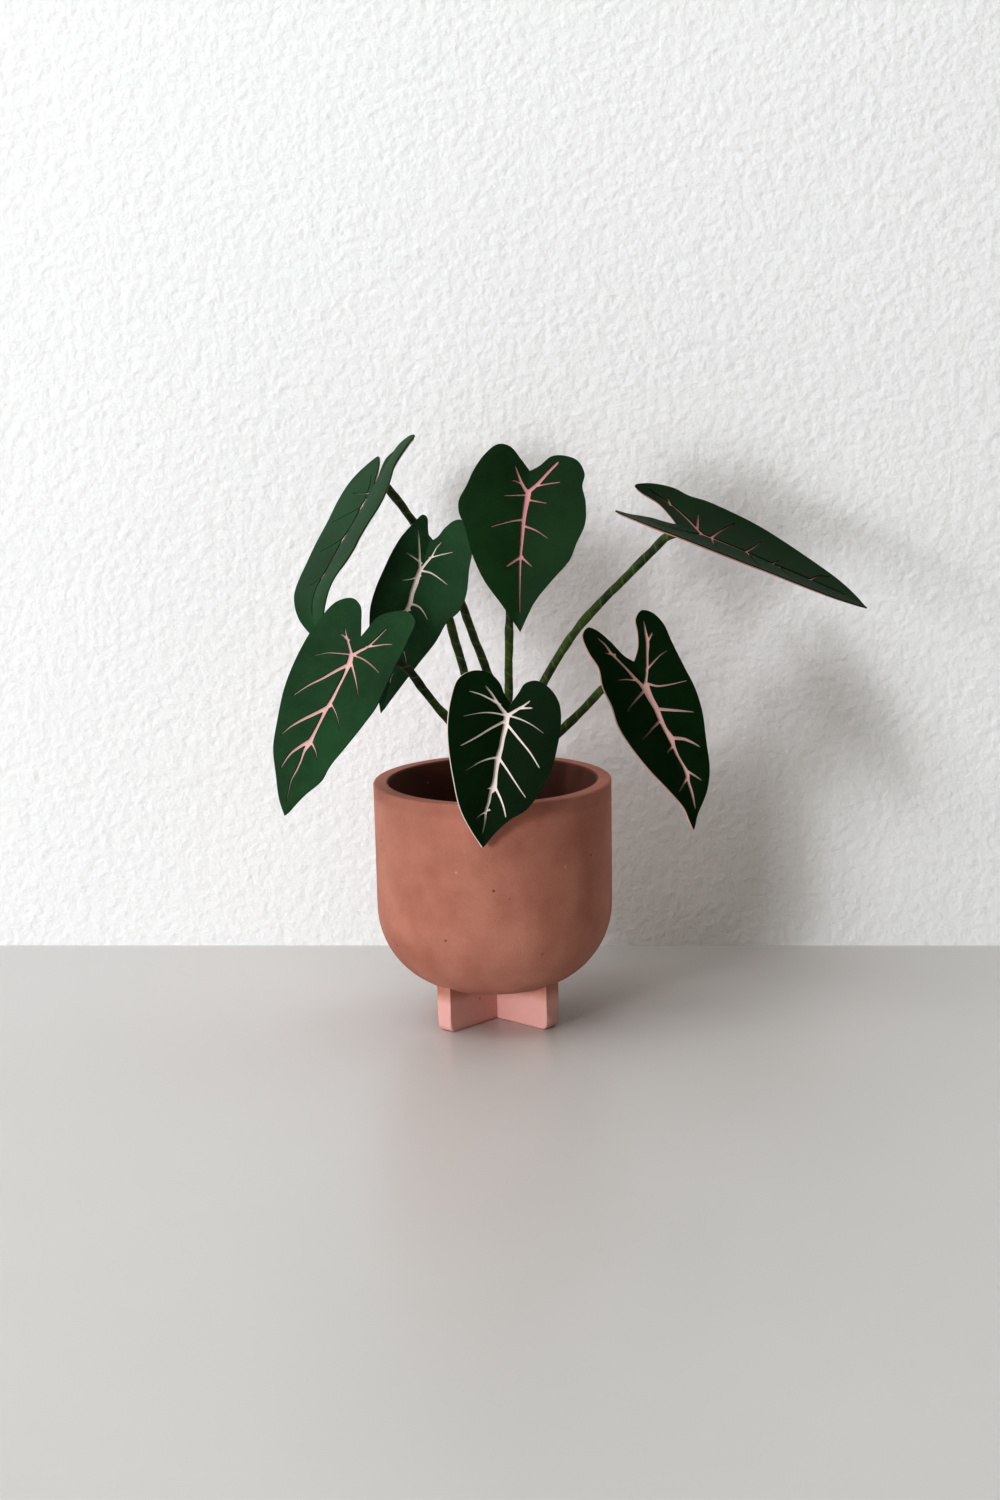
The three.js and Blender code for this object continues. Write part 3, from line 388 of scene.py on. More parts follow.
        "right": [(-11, 3), (-15, 4.7), (-17.3, 9), (-16, 14.5), (-11, 20), (-3, 22.5), (8, 22.8), (16, 22.2),
                  (25, 19.5), (34, 15.3), (40, 9), (47, 3.8)],
        "left": [(-9, -2.5), (-14, -6), (-17, -11), (-16.5, -17.5), (-12.5, -22.2), (-5, -23.6), (6, -23.1),
                 (16, -20.8), (27, -17), (39, -12), (47, -6.3)],
        "veins": [
            ([(-0.8, -0.2), (3.7, 0.1), (7.8, -0.2), (12.4, -0.2), (16.5, -0.6), (21.5, -0.5), (25.6, -0.2),
              (28.9, -0.2), (31, -0.9), (35, -1), (39, -1.5), (43.3, -1.1), (48, -1.1)],
             [3.1, 2.5, 2.1, 2.1, 2.5, 2.1, 2.3, 3, 1.7, 1.5, 1.3, 0.85, 0.6]),
            ([(29.1, 0.9), (32.9, 3.9), (36.5, 6), (38.8, 7)], [1.5, 0.9]),
            ([(-1.9, -1.2), (-5.2, -4.8), (-8.6, -7.9), (-11.3, -10.9)], [1.8, 0.6]),
            ([(-5.2, -4.8), (-6.5, -8.3), (-7.8, -12.7), (-8.3, -16.9)], [1.2, 0.5]),
            ([(-1.9, 1), (-4.3, 3.6), (-6.2, 5.8), (-8.5, 7.9)], [1.6, 0.8]),
            ([(-5.3, 5.5), (-6.2, 9.3)], [1, 0.7]),
            ([(-1, -1.5), (-1.2, -5.7), (-0.6, -10.5), (2, -17.8)], [1, 0.3]),
            ([(1.8, -1.3), (5.4, -6.1), (9.9, -11.4), (13.7, -16.4)], [1.4, 0.65]),
            ([(-1.1, 1.1), (-0.8, 5.6), (0.4, 11), (2.5, 16.1)], [1, 0.4]),
            ([(3, 1.1), (6.8, 6.2), (11.5, 12.3), (16.2, 16.9)], [1.5, 0.8]),
            ([(16.4, -0.9), (17.5, -4.6), (19.7, -8.4), (23.6, -12.6)], [1.2, 0.4]),
            ([(17.2, 0.4), (20.4, 4.1), (25, 9), (29.2, 13.6)], [1.5, 0.7]),
            ([(28.8, -0.4), (29.4, -2.4)], [1.3, 0.6]), ([(38.7, -1.1), (40.8, -3.7), (42.5, -5)], [1, 0.4])],
        "slip": (0.2, -0.35), "hole": (1, -7), "loops": True,
        "route": [(3, -14, 104), (4.8, -25, 117), (6, -37, 128)],
    },
    "lowRight": {
        "at": (63.8, -14, 143.5), "pointing": (0.374, -0.346, -0.861), "facing": (0.268, -0.848, 0.457),
        "card": "deepShadedGreen", "lining": "petal",
        "fold": 15, "curl": -0.34, "droop": 0.17, "sinus": (-11, 0), "tip": (62.5, -4),
        "right": [(-16, 4), (-22, 6.5), (-27.5, 8), (-30, 11.5), (-28, 15), (-22, 17.8), (-13, 18), (0, 18.5),
                  (8, 19), (18, 18), (30, 14.8), (42, 11.5), (50, 7), (57, 0.5)],
        "left": [(-14.5, -3.5), (-22, -7), (-28, -10.8), (-30.5, -14.5), (-28, -18), (-20, -18.5),
                 (-13, -17.2), (-5, -19), (4, -18.8), (12, -19.7), (21, -18.2), (33, -14), (44, -8.5),
                 (53, -4.6), (58, -4.3)],
        "veins": [
            ([(-0.1, -0.2), (5.4, -0.1), (10.2, 0.5), (14.7, 0.4), (19.7, 0.6), (24, 1.4), (27.5, 1.2),
              (32, 1.3), (36, 1.9), (39.8, 2.2), (43.5, 1.5), (48.2, 1.2), (54.4, 0.2)],
             [4.5, 3.2, 2.7, 2.5, 2.1, 2.7, 1.75, 1.25, 1.25, 1.9, 1.3, 1.2, 0.6]),
            ([(-1.8, 1.2), (-6.6, 3.9), (-11.7, 6.1), (-16.8, 8.5), (-21, 9.5), (-25.3, 10.6)],
             [1.4, 1.2, 1.3, 1.7, 1.2, 0.6]),
            ([(-17.4, 9.2), (-19.2, 11.4)], [1.2, 1]),
            ([(-6.5, 4.2), (-8.2, 7.8), (-9.6, 11.1), (-10.2, 14.2)], [1.2, 0.4]),
            ([(-1.3, -1.5), (-5, -3.3), (-9.6, -5.2), (-13.8, -7.2), (-17.4, -8.9), (-21.4, -9.9),
              (-24.7, -11.8)],
             [2.3, 2.1, 1.6, 1.5, 1.8, 1.35, 0.9]),
            ([(-16.6, -8.3), (-18.1, -11.6)], [1.35, 0.7]),
            ([(-3.6, -3.5), (-5, -7.6), (-5.7, -11.4)], [1.2, 0.45]),
            ([(-0.1, 1.9), (1.9, 4.6), (3.2, 9), (4.4, 16.7)], [1.3, 0.5]),
            ([(2.2, -2.2), (4.2, -6.5), (6, -10), (7.8, -13)], [1.4, 0.5]),
            ([(10.9, 1.1), (13.5, 6.3), (15.7, 10.8), (17.4, 14.2)], [1.7, 0.5]),
            ([(16.1, -0.8), (17.7, -4.8), (19.4, -8.3), (20.7, -11.6)], [1.4, 0.45]),
            ([(24.2, 1.8), (26.4, 6.3), (29.2, 9.2), (31.4, 11)], [1.8, 0.75]),
            ([(27.6, 0.4), (29.2, -2.5)], [1.2, 0.8]),
            ([(39.4, 2.8), (42.1, 4.9), (44.5, 6.6)], [1.25, 0.6]),
            ([(41.7, 1.5), (44.2, -1.6), (45.7, -4)], [1.3, 0.8])],
        "slip": (0.1, -0.35), "hole": (8, -2),
        "route": [(15.9, -4, 110.9), (28.6, -6, 123.2), (41.2, -7, 135.6), (48.5, -7, 142.8)],
    },
    "right": {
        "at": (88.7, 4, 203.8), "pointing": (0.917, -0.16, -0.365), "facing": (0.324, -0.235, 0.917),
        "card": "shadedGreen", "lining": "rose",
        "fold": 5, "curl": 0.44, "curlRight": 0.49, "droop": 0.06, "sinus": (-10.7, 0.5), "tip": (75, -1),
        "right": [(-15, 6), (-22.5, 13), (-31, 16.2), (-34.2, 18.4), (-29, 23.8), (-19, 27), (-12, 26),
                  (-4, 27), (8, 26), (20, 24.2), (34, 20.5), (48, 16), (60, 10.7), (69, 4.7)],
        "left": [(-12.5, -1.5), (-16, -3.6), (-21, -5.6), (-26, -10.5), (-30, -16.5), (-35, -21.5),
                 (-34, -24.5), (-28, -26), (-19, -27), (-10, -26.8), (2, -26.8), (12, -25.5),
                 (25, -22.5), (38, -18.5), (50, -14.5), (61, -9.8), (69, -5)],
        "veins": [
            ([(-0.5, 0), (6, 0), (20, 0), (42, 0.5), (64, 1.5)], [3.2, 0.8]),
            ([(0, 0.8), (-4.3, 5), (-9, 9.5), (-17, 15), (-24.5, 17.7), (-28, 19.5)], [2.2, 0.6]),
            ([(-17.3, 15.1), (-19, 18.2)], [1.4, 1]), ([(-2.6, 4.5), (-4, 12), (-5, 16.3)], [1.4, 0.5]),
            ([(4.5, 1), (6.5, 9), (10.5, 19.3)], [1.6, 0.6]),
            ([(20, 0.8), (22, 7), (23.6, 13.3)], [1.4, 0.6]),
            ([(32, 0.6), (33.6, 4.7)], [1, 0.6]), ([(49, 1), (52, 7.3), (56, 10.1)], [1.2, 0.5]),
            ([(0, -0.8), (-5, -5), (-11, -9.5), (-20, -14.5)], [2, 0.6]),
            ([(5, -1), (7, -8), (10, -15)], [1.2, 0.5]),
            ([(21, -0.8), (24, -7), (28, -12)], [1.2, 0.5]), ([(35, -0.5), (38, -5), (41, -8)], [1, 0.5])],
        "hole": (6, 5), "aside": 5,
        "route": [(15, 6, 126.2), (22, 7, 141.6), (37.1, 8, 164.6), (49.5, 9, 177.7), (61.4, 9.9, 189.2),
                  (68.6, 10.5, 196), (73.9, 10.9, 201.1)],
    },
}

sheets = {
    "greenThickness": 0.55, "backingDepth": 0.62, "backingThickness": 0.5,
    "spacing": 1.7, "rowStep": 0.866, "clear": 0.55,  # between the inner corners of a sheet's mesh
    "wave": 0.28, "waveLength": 19, "apart": 40,  # slight buckling of the card, another for each leaf
    "slotWidth": 0.92, "rootWiden": 1.15, "tipReach": 1.3,
    "root": 1.5, "midribRoot": 0.3,  # how far back a side vein and the midrib begin
    "outlineSteps": 6, "veinSteps": 4,  # of each curve between two given points
    "leastIsland": 1.2,  # mm2 of green between veins, below which it is cut away with them
    "trim": 0.965,  # size of a lining that shows at no edge of its leaf
}


# A point of the leaf, sunk by depth behind its front face, with the card's slight buckling.
def leafPoint(leaf, s, t, depth=0.0):
    bend = math.radians(leaf["droop"])
    straightTo = leaf.get("droopFrom", 0)
    turn = bend * max(s - straightTo, 0)
    point = leaf["at"] + leaf["along"] * (min(s, straightTo) + math.sin(turn) / bend)
    point = point - leaf["out"] * ((1 - math.cos(turn)) / bend)
    rise = leaf["out"] * math.cos(turn) + leaf["along"] * math.sin(turn)
    side = (t > 0) - (t < 0)
    fold = math.radians(leaf["fold"])
    curl = math.radians(leaf.get("curlRight", leaf["curl"]) if side > 0 else leaf["curl"])
    tilt = fold + curl * abs(t)
    point = point + leaf["across"] * (side * (math.sin(tilt) - math.sin(fold)) / curl)
    point = point + rise * ((math.cos(fold) - math.cos(tilt)) / curl)
    drawn = Vector((s, t, sheets["apart"] * leaf["number"])) / sheets["waveLength"]
    sunk = depth - sheets["wave"] * noise.noise(drawn)
    if side == 0:
        return point - rise * (sunk / math.cos(fold))
    return point - rise * (sunk * math.cos(tilt)) + leaf["across"] * (sunk * side * math.sin(tilt))


def leafOutline(leaf):
    down = smoothCurve([leaf["sinus"], *leaf["left"], leaf["tip"]], sheets["outlineSteps"])
    up = smoothCurve([leaf["tip"], *reversed(leaf["right"]), leaf["sinus"]], sheets["outlineSteps"])
    return down[:-1] + up[:-1]


def veinOutline(points, widths, root):
    if len(widths) == 2:
        last = len(points) - 1
        widths = [widths[0] + (widths[1] - widths[0]) * i / last for i in range(last + 1)]
    widths = [w * sheets["slotWidth"] for w in widths]
    start, second = Vector(points[0]), Vector(points[1])
    points = [tuple(start - (second - start).normalized() * root)] + list(points)
    widths = [widths[0] * sheets["rootWiden"]] + widths
    path = smoothCurve([(s, t, w) for (s, t), w in zip(points, widths)], sheets["veinSteps"])
    left, right = [], []
    for i, place in enumerate(path):
        heading = (path[min(i + 1, len(path) - 1)] - path[max(i - 1, 0)]).xy.normalized()
        aside = Vector((-heading.y, heading.x)) * place.z / 2
        left.append(place.xy - aside)
        right.append(place.xy + aside)
    heading = (path[-1] - path[-2]).xy.normalized()
    return left + [path[-1].xy + heading * path[-1].z * sheets["tipReach"]] + right[::-1]


def signedArea(ring):
    return sum(p.x * q.y - q.x * p.y for p, q in zip(ring, ring[1:] + ring[:1])) / 2


# Fills the outline with small triangles and leaves the slots free.
def flatMesh(outline, slots, spacing):
    corners, rings = [], []
    for ring in [outline] + slots:
        ring = ring if signedArea(ring) > 0 else ring[::-1]
        rings.append(list(range(len(corners), len(corners) + len(ring))))
        corners.extend(ring)
    near = KDTree(len(corners))
    for i, corner in enumerate(corners):
        near.insert((*corner, 0), i)
    near.balance()
    low = [min(c[k] for c in outline) for k in (0, 1)]
    high = [max(c[k] for c in outline) for k in (0, 1)]
    rowStep = spacing * sheets["rowStep"]
    for row in range(math.floor(low[1] / rowStep), math.ceil(high[1] / rowStep) + 1):
        for column in range(math.floor(low[0] / spacing) - 1, math.ceil(high[0] / spacing) + 1):
            place = Vector(((column + 0.5 * (row % 2)) * spacing, row * rowStep))
            if near.find((*place, 0))[2] > sheets["clear"] * spacing:
                corners.append(place)
    found, _, triangles, _, _, owners = delaunay_2d_cdt(corners, [], rings, 1, 1e-4)
    kept = [tri for tri, owner in zip(triangles, owners) if list(owner) == [0]]
    return found, dropIslands(found, kept)


# Leaves out the scraps of card between veins.
def dropIslands(found, triangles):
    sharing = {}
    for n, tri in enumerate(triangles):
        for i in range(3):
            sharing.setdefault(frozenset((tri[i], tri[i - 1])), []).append(n)
    seen = [False] * len(triangles)
    kept = []
    for first in range(len(triangles)):
        if seen[first]:
            continue
        seen[first] = True
        island, waiting = [], [first]
        while waiting:
            n = waiting.pop()
            island.append(n)
            tri = triangles[n]
            for i in range(3):
                for other in sharing[frozenset((tri[i], tri[i - 1]))]:
                    if not seen[other]:
                        seen[other] = True
                        waiting.append(other)
        area = sum(abs(signedArea([found[v] for v in triangles[n]])) for n in island)
        if area > sheets["leastIsland"]:
            kept.extend(triangles[n] for n in island)
    return kept


# Bends the flat mesh to the leaf's shape as a closed sheet of card.
def bentSheet(name, leaf, flat, frontDepth, backDepth, material):
    found, triangles = flat
    used = sorted({v for tri in triangles for v in tri})
    renumbered = {v: i for i, v in enumerate(used)}
    triangles = [tuple(renumbered[v] for v in tri) for tri in triangles]
    back = len(used)
    corners = [leafPoint(leaf, *found[v], depth) for depth in (frontDepth, backDepth) for v in used]
    faces, cutEdges = [], {}
    for a, b, c in triangles:
        faces += [(a, b, c), (back + a, back + c, back + b)]
        for i, j in ((a, b), (b, c), (c, a)):
            if cutEdges.pop((j, i), None) is None:
                cutEdges[(i, j)] = True
    faces += [(i, back + i, back + j, j) for i, j in cutEdges]
    return makePiece(name, corners, faces, material)


stems = {
    "radius": 1.75, "sides": 18, "step": 0.9, "routeSteps": 24,
    "lump": 0.24, "lumpLength": 7, "apart": 9,  # uneven thickness, another for each stem
    "lapRise": 0.1, "lapSink": 0.05,  # of the tape's edge
    "endRounding": 1.6, "endFlat": 0.3,
    "hookRadius": 3.4, "seat": 7, "behind": 2.95, "clear": 1.2,  # how it turns over and lies behind its leaf
    "hookRise": (2, 1.4, 0.4),  # how far behind the leaf it climbs, turns and comes down, in hook radii
    "bottom": 60.3, "stands": (70, 77, 84),  # heights in the fill and just above it
}


# Up from the fill, on by the leaf's own route, and over onto the back of the leaf.
def stemRoute(leaf):
    def behind(s, away):
        return leafPoint(leaf, s, leaf.get("aside", 0), stems["behind"] + away)

    x, y = leaf["hole"]
    crest = leaf["sinus"][0] + stems["radius"] + stems["clear"]
    hook = stems["hookRadius"]
    points = [(x, y, z) for z in (stems["bottom"], *stems["stands"])] + leaf["route"]
    climb, over, down = [share * hook for share in stems["hookRise"]]
    if "loops" in leaf:
        points += [behind(crest + hook, climb), behind(crest, over)]
    return points + [behind(crest, down), behind(crest + hook, 0), behind(crest + hook + stems["seat"], 0)]


# A tube along the route whose thickness drifts, with rounded ends, mapped by turn and length.
def wrappedStem(name, leaf):
    fine = smoothCurve(stemRoute(leaf), stems["routeSteps"])
    lengths = [0]
    for p, q in zip(fine, fine[1:]):
        lengths.append(lengths[-1] + (q - p).length)
    count = round(lengths[-1] / stems["step"])
    path, j = [], 0
    for i in range(count + 1):
        wanted = lengths[-1] * i / count
        while j < len(lengths) - 2 and lengths[j + 1] < wanted:
            j += 1
        share = (wanted - lengths[j]) / (lengths[j + 1] - lengths[j])
        path.append(fine[j].lerp(fine[j + 1], min(share, 1)))
    sides, step = stems["sides"], stems["step"]
    heading = (path[1] - path[0]).normalized()
    aside = heading.orthogonal().normalized()
    corners, faces, uvs = [], joinRings(count, sides), []
    for i, place in enumerate(path):
        heading = (path[min(i + 1, count)] - path[max(i - 1, 0)]).normalized()
        aside = (aside - heading * aside.dot(heading)).normalized()
        other = heading.cross(aside)
        fromEnd = (min(i, count - i) * step + stems["endFlat"]) / stems["endRounding"]
        rounding = math.sqrt(min(1, fromEnd * (2 - min(1, fromEnd))))
        for k in range(sides):
            angle = 2 * math.pi * k / sides
            x, y = math.cos(angle), math.sin(angle)
            turn = (i * step / stemLook["pitch"] + k / sides) % 1
            drawn = Vector((i * step / stems["lumpLength"], x, y + stems["apart"] * leaf["number"]))
            radius = stems["radius"] * rounding * (1 + stems["lump"] * noise.noise(drawn))
            radius += stems["lapRise"] * turn * rounding - stems["lapSink"]
            corners.append(place + (aside * x + other * y) * radius)
    for i in range(count):
        for k in range(sides):
            u0, u1, v0, v1 = k / sides, (k + 1) / sides, i * step, (i + 1) * step
            uvs.append(((u0, v0), (u1, v0), (u1, v1), (u0, v1)))
    faces += [tuple(range(sides))[::-1], tuple(range(count * sides, (count + 1) * sides))]
    uvs += [[(0.5, 0)] * sides, [(0.5, count * step)] * sides]
    return makePiece(name, corners, faces, stemTape, sharpAngle=60, uvs=uvs)


for number, (name, leaf) in enumerate(leaves.items()):
    leaf["number"] = number
    leaf["at"] = Vector(leaf["at"])
    leaf["along"] = Vector(leaf["pointing"]).normalized()
    out = Vector(leaf["facing"])
    leaf["out"] = (out - leaf["along"] * out.dot(leaf["along"])).normalized()
    leaf["across"] = leaf["out"].cross(leaf["along"])
    outline = leafOutline(leaf)
    midrib, *sideVeins = leaf["veins"]
    slots = [veinOutline(*midrib, sheets["midribRoot"])]
    slots += [veinOutline(*vein, sheets["root"]) for vein in sideVeins]
    cut = flatMesh(outline, slots, sheets["spacing"])
    leafPiece = bentSheet("paper_" + name, leaf, cut, 0, sheets["greenThickness"], papers[leaf["card"]])
    found, triangles = flatMesh(outline, [], sheets["spacing"])
    trim = 1 if "slip" in leaf else sheets["trim"]
    shifted = [corner * trim + Vector(leaf.get("slip", (0, 0))) for corner in found]
    depths = sheets["backingDepth"], sheets["backingDepth"] + sheets["backingThickness"]
    backing = bentSheet("lining_" + name, leaf, (shifted, triangles), *depths, papers[leaf["lining"]])
    settle(leafPiece, "leaf_" + name)
    settle(backing, "backing_" + name)
    settle(wrappedStem("wire_" + name, leaf), "stem_" + name)
print("seven leaves cut, bent and hung on their stems")


pot = {
    "rimHeight": 102.5, "rimRadius": 50, "wall": 6.3, "rimRounding": 1.0, "shoulderRadius": 49.5,
    "bottomCurve": 35, "underside": 14.5, "axis": 0.01,  # the least radius, in the middle of the bottom
    "footReach": 32, "footThickness": 7.5, "footCorner": 3, "footEdge": 0.8, "footTurn": 46.7,
    "edgeAngle": 50, "edgeSegments": 4, "footTop": 20,  # the foot's edges sharper and lower are rounded
    "sides": 200, "unevenness": 0.12, "driftLength": 34, "steadyTo": 4,  # mm up from where it stands
    "steps": {"middle": 5, "bottom": 40, "wall": 22, "rim": 6, "rimTop": 3, "inside": 14, "hollow": 24,
              "footCorner": 8, "footTop": 24},
}


def arc(centre, radius, fromDegrees, toDegrees, steps):
    angles = [math.radians(fromDegrees + (toDegrees - fromDegrees) * i / steps) for i in range(steps + 1)]
    return [(centre[0] + radius * math.cos(a), centre[1] + radius * math.sin(a)) for a in angles]


def straight(start, end, steps):
    return [tuple(Vector(start).lerp(Vector(end), i / steps)) for i in range(1, steps)]


def bottomCentre():
    return pot["shoulderRadius"] - pot["bottomCurve"], pot["underside"] + pot["bottomCurve"]


def bowlProfile():
    centre, axis, steps = bottomCentre(), pot["axis"], pot["steps"]
    r, top, wall, rim = pot["rimRadius"], pot["rimHeight"], pot["wall"], pot["rimRounding"]
    outer = arc(centre, pot["bottomCurve"], -90, 0, steps["bottom"])
    outerRim = arc((r - rim, top - rim), rim, 0, 90, steps["rim"])
    innerRim = arc((r - wall + rim, top - rim), rim, 90, 180, steps["rim"])
    inner = arc(centre, pot["bottomCurve"] - wall, 0, -90, steps["hollow"])
    start, end = (axis, pot["underside"]), (axis, inner[-1][1])
    profile = [start] + straight(start, outer[0], steps["middle"]) + outer
    profile += straight(outer[-1], outerRim[0], steps["wall"]) + outerRim
    profile += straight(outerRim[-1], innerRim[0], steps["rimTop"]) + innerRim
    profile += straight(innerRim[-1], inner[0], steps["inside"]) + inner
    return profile + straight(inner[-1], end, steps["middle"]) + [end]


def lathe(profile, sides):
    angles = [2 * math.pi * k / sides for k in range(sides)]
    corners = [(r * math.cos(angle), r * math.sin(angle), z) for r, z in profile for angle in angles]
    return corners, joinRings(len(profile) - 1, sides)


# One upright bar of the cross foot. Its top follows the middle of the bowl's wall, where it is hidden.
def footBar(turn):
    half, corner = pot["footReach"], pot["footCorner"]
    cornerSteps, steps = pot["steps"]["footCorner"], pot["steps"]["footTop"]
    side = arc((-half + corner, corner), corner, 180, 270, cornerSteps)
    side += arc((half - corner, corner), corner, 270, 360, cornerSteps)
    centre = bottomCentre()
    middle = pot["bottomCurve"] - pot["wall"] / 2
    for i in range(steps + 1):
        x = half - 2 * half * i / steps
        reach = max(abs(x) - centre[0], 0)
        side.append((x, centre[1] - math.sqrt(middle ** 2 - reach ** 2)))
    bm = bmesh.new()
    thickness = pot["footThickness"]
    front = bm.faces.new([bm.verts.new((x, -thickness / 2, z)) for x, z in side])
    pushed = bmesh.ops.extrude_face_region(bm, geom=[front])
    for vert in [v for v in pushed["geom"] if isinstance(v, bmesh.types.BMVert)]:
        vert.co.y += thickness
    bmesh.ops.recalc_face_normals(bm, faces=bm.faces)
    sharp = [e for e in bm.edges if e.calc_face_angle(0) > math.radians(pot["edgeAngle"])]
    edges = [e for e in sharp if max(v.co.z for v in e.verts) < pot["footTop"]]
    bmesh.ops.bevel(bm, geom=edges, offset=pot["footEdge"], segments=pot["edgeSegments"], profile=0.5,
                    affect="EDGES")
    bmesh.ops.rotate(bm, cent=(0, 0, 0), matrix=Matrix.Rotation(turn, 3, "Z"), verts=bm.verts)
    corners = [tuple(v.co) for v in bm.verts]
    faces = [tuple(v.index for v in f.verts) for f in bm.faces]
    bm.free()
    return corners, faces


def makePot(material):
    corners, faces = lathe(bowlProfile(), pot["sides"])
    for turn in (pot["footTurn"], pot["footTurn"] + 90):
        barCorners, barFaces = footBar(math.radians(turn))
        faces += [tuple(len(corners) + v for v in face) for face in barFaces]
        corners = corners + barCorners
    uneven = []
    for corner in map(Vector, corners):
        drift = noise.noise_vector(corner / pot["driftLength"]) * pot["unevenness"]
        uneven.append(corner + drift * min(1, corner.z / pot["steadyTo"]))
    return makePiece("castPot", uneven, faces, material, sharpAngle=42)


# Each range runs from one value to another and gives the share at either. Heights and reaches are in m.
clay = {
    "lit": (194, 136, 118), "deep": (164, 104, 86), "tone": (0.4, 1.6, 0.0, 1.0),
    "drift": (16.0, 1.8), "cloud": (70.0, 1.6), "sand": (1500.0, 1.5), "sandTone": (0, 1, -0.2, 0.2),
    "wobbleNoise": (45.0, 4.0), "wobble": (0.3, 0.7, -0.0012, 0.0012),  # how both borders wander
    # The band is painted shade, darkening the top few mm of the pot round the rim.
    "rimShade": (142, 88, 70), "rimShadeRange": (0.0952, 0.0975, 0.0, 0.22),
    "foot": (232, 180, 172), "footRange": (0.0125, 0.0175, 0.85, 0.0),
    # The inside colour is painted shade on the inner wall above the fill, where the leaves would shade it.
    "inside": (72, 30, 18), "innerShadeReach": (0.0441, 0.0447, 0.85, 0.0),
    "innerShadeHeight": (0.06, 0.061, 0.0, 1.0),
    "speckScale": 150.0, "speck": (0.05, 0.11, 1.0, 0.0),
    "pits": (96, 52, 40), "pitRange": (0.85, 0.9, 0.0, 0.8), "pitDepth": 3,
    "chalk": (218, 164, 146), "chalkRange": (0.9, 0.94, 0.0, 0.6),
    "roughness": (0.72, 0.88), "gloss": 0.35, "bump": 0.35, "depth": 0.0002,
}


# Cast, tinted concrete: cloudy, with pinholes and chalky specks, and pale at the foot. Painted shade darkens
# the top few mm round the rim, and more painted shade darkens the inner wall above the fill but not the rim
# top.
def makeClay():
    material, tree, shader = newMaterial("castClay")
    place = addNode(tree, "ShaderNodeTexCoord").outputs["Object"]
    height = addNode(tree, "ShaderNodeSeparateXYZ", {0: place}).outputs[2]
    broad, clouds, sand = [mottled(tree, *clay[kind]) for kind in ("drift", "cloud", "sand")]
    sandTone = remap(tree, sand, *clay["sandTone"])
    tone = mathNode(tree, "ADD", mathNode(tree, "ADD", broad, clouds), sandTone)
    look = mixColour(tree, remap(tree, tone, *clay["tone"]), clay["deep"], clay["lit"])
    wobble = noiseNode(tree, place, *clay["wobbleNoise"])
    level = mathNode(tree, "ADD", remap(tree, wobble.outputs[0], *clay["wobble"]), height)
    # Painted shade round the top of the pot.
    look = mixColour(tree, remap(tree, level, *clay["rimShadeRange"]), look, clay["rimShade"])
    look = mixColour(tree, remap(tree, level, *clay["footRange"]), look, clay["foot"])
    flat = addNode(tree, "ShaderNodeVectorMath", {0: place, 1: (1, 1, 0)}, operation="MULTIPLY").outputs[0]
    reach = addNode(tree, "ShaderNodeVectorMath", {0: flat}, operation="LENGTH").outputs["Value"]
    # Painted shade on the inner wall above the fill, up to the rim's inner edge.
    innerShade = mathNode(tree, "MULTIPLY", remap(tree, reach, *clay["innerShadeReach"]),
                      remap(tree, height, *clay["innerShadeHeight"]))
    look = mixColour(tree, innerShade, look, clay["inside"])
    specks = addNode(tree, "ShaderNodeTexVoronoi", {"Vector": place, "Scale": clay["speckScale"]})
    spot = remap(tree, specks.outputs["Distance"], *clay["speck"])
    drawn = addNode(tree, "ShaderNodeSeparateColor", {0: specks.outputs["Color"]})
    pits = mathNode(tree, "MULTIPLY", spot, remap(tree, drawn.outputs[0], *clay["pitRange"]))
    chalk = mathNode(tree, "MULTIPLY", spot, remap(tree, drawn.outputs[1], *clay["chalkRange"]))
    look = mixColour(tree, pits, look, clay["pits"])
    look = mixColour(tree, chalk, look, clay["chalk"])
    sunk = mathNode(tree, "MULTIPLY", pits, -clay["pitDepth"])
    dress(tree, shader, clay, look, clouds, mathNode(tree, "ADD", sand, sunk))
    return material


settle(makePot(makeClay()), "pot")
print("pot cast on its cross foot")


fill = {
    "top": 74, "crown": 1.5, "gap": 0.3, "sides": 110, "rings": 34, "bottomSteps": 16,
    "edgeDrop": 1.5, "firstDrop": 0.9, "lastRise": 0.5,  # of the top's edge, first ring and middle
    "roughness": 0.9, "roughFrom": 1.4,  # how uneven the top is, and from how far down
    "roughLength": 4.5, "roughFractal": (0.8, 2.0, 4),
    "crumbs": 330, "crumbSize": (0.7, 2.3), "crumbSkew": 1.2, "crumbInset": 2.5, "crumbLift": (0.3, 0.2),
    "crumbSquash": ((0.7, 1.2), (0.7, 1.2), (0.45, 0.8)), "crumbBump": 0.35, "crumbBumpScale": 1.6,
}
earthLook = {
    "dark": (26, 19, 14), "light": (78, 58, 42), "tone": (0.5, 1.6, 0.0, 1.0),
    "cloud": (260.0, 2.6), "grit": (1700.0, 2.2),
    "roughness": (0.82, 0.97), "gloss": 0.5, "bump": 0.7, "depth": 0.0005,
}


def makeEarth():
    material, tree, shader = newMaterial("earth")
    clouds, grit = mottled(tree, *earthLook["cloud"]), mottled(tree, *earthLook["grit"])
    both = mathNode(tree, "ADD", clouds, grit)
    tone = remap(tree, both, *earthLook["tone"])
    base = mixColour(tree, tone, earthLook["dark"], earthLook["light"])
    dress(tree, shader, earthLook, base, grit, both)
    return material


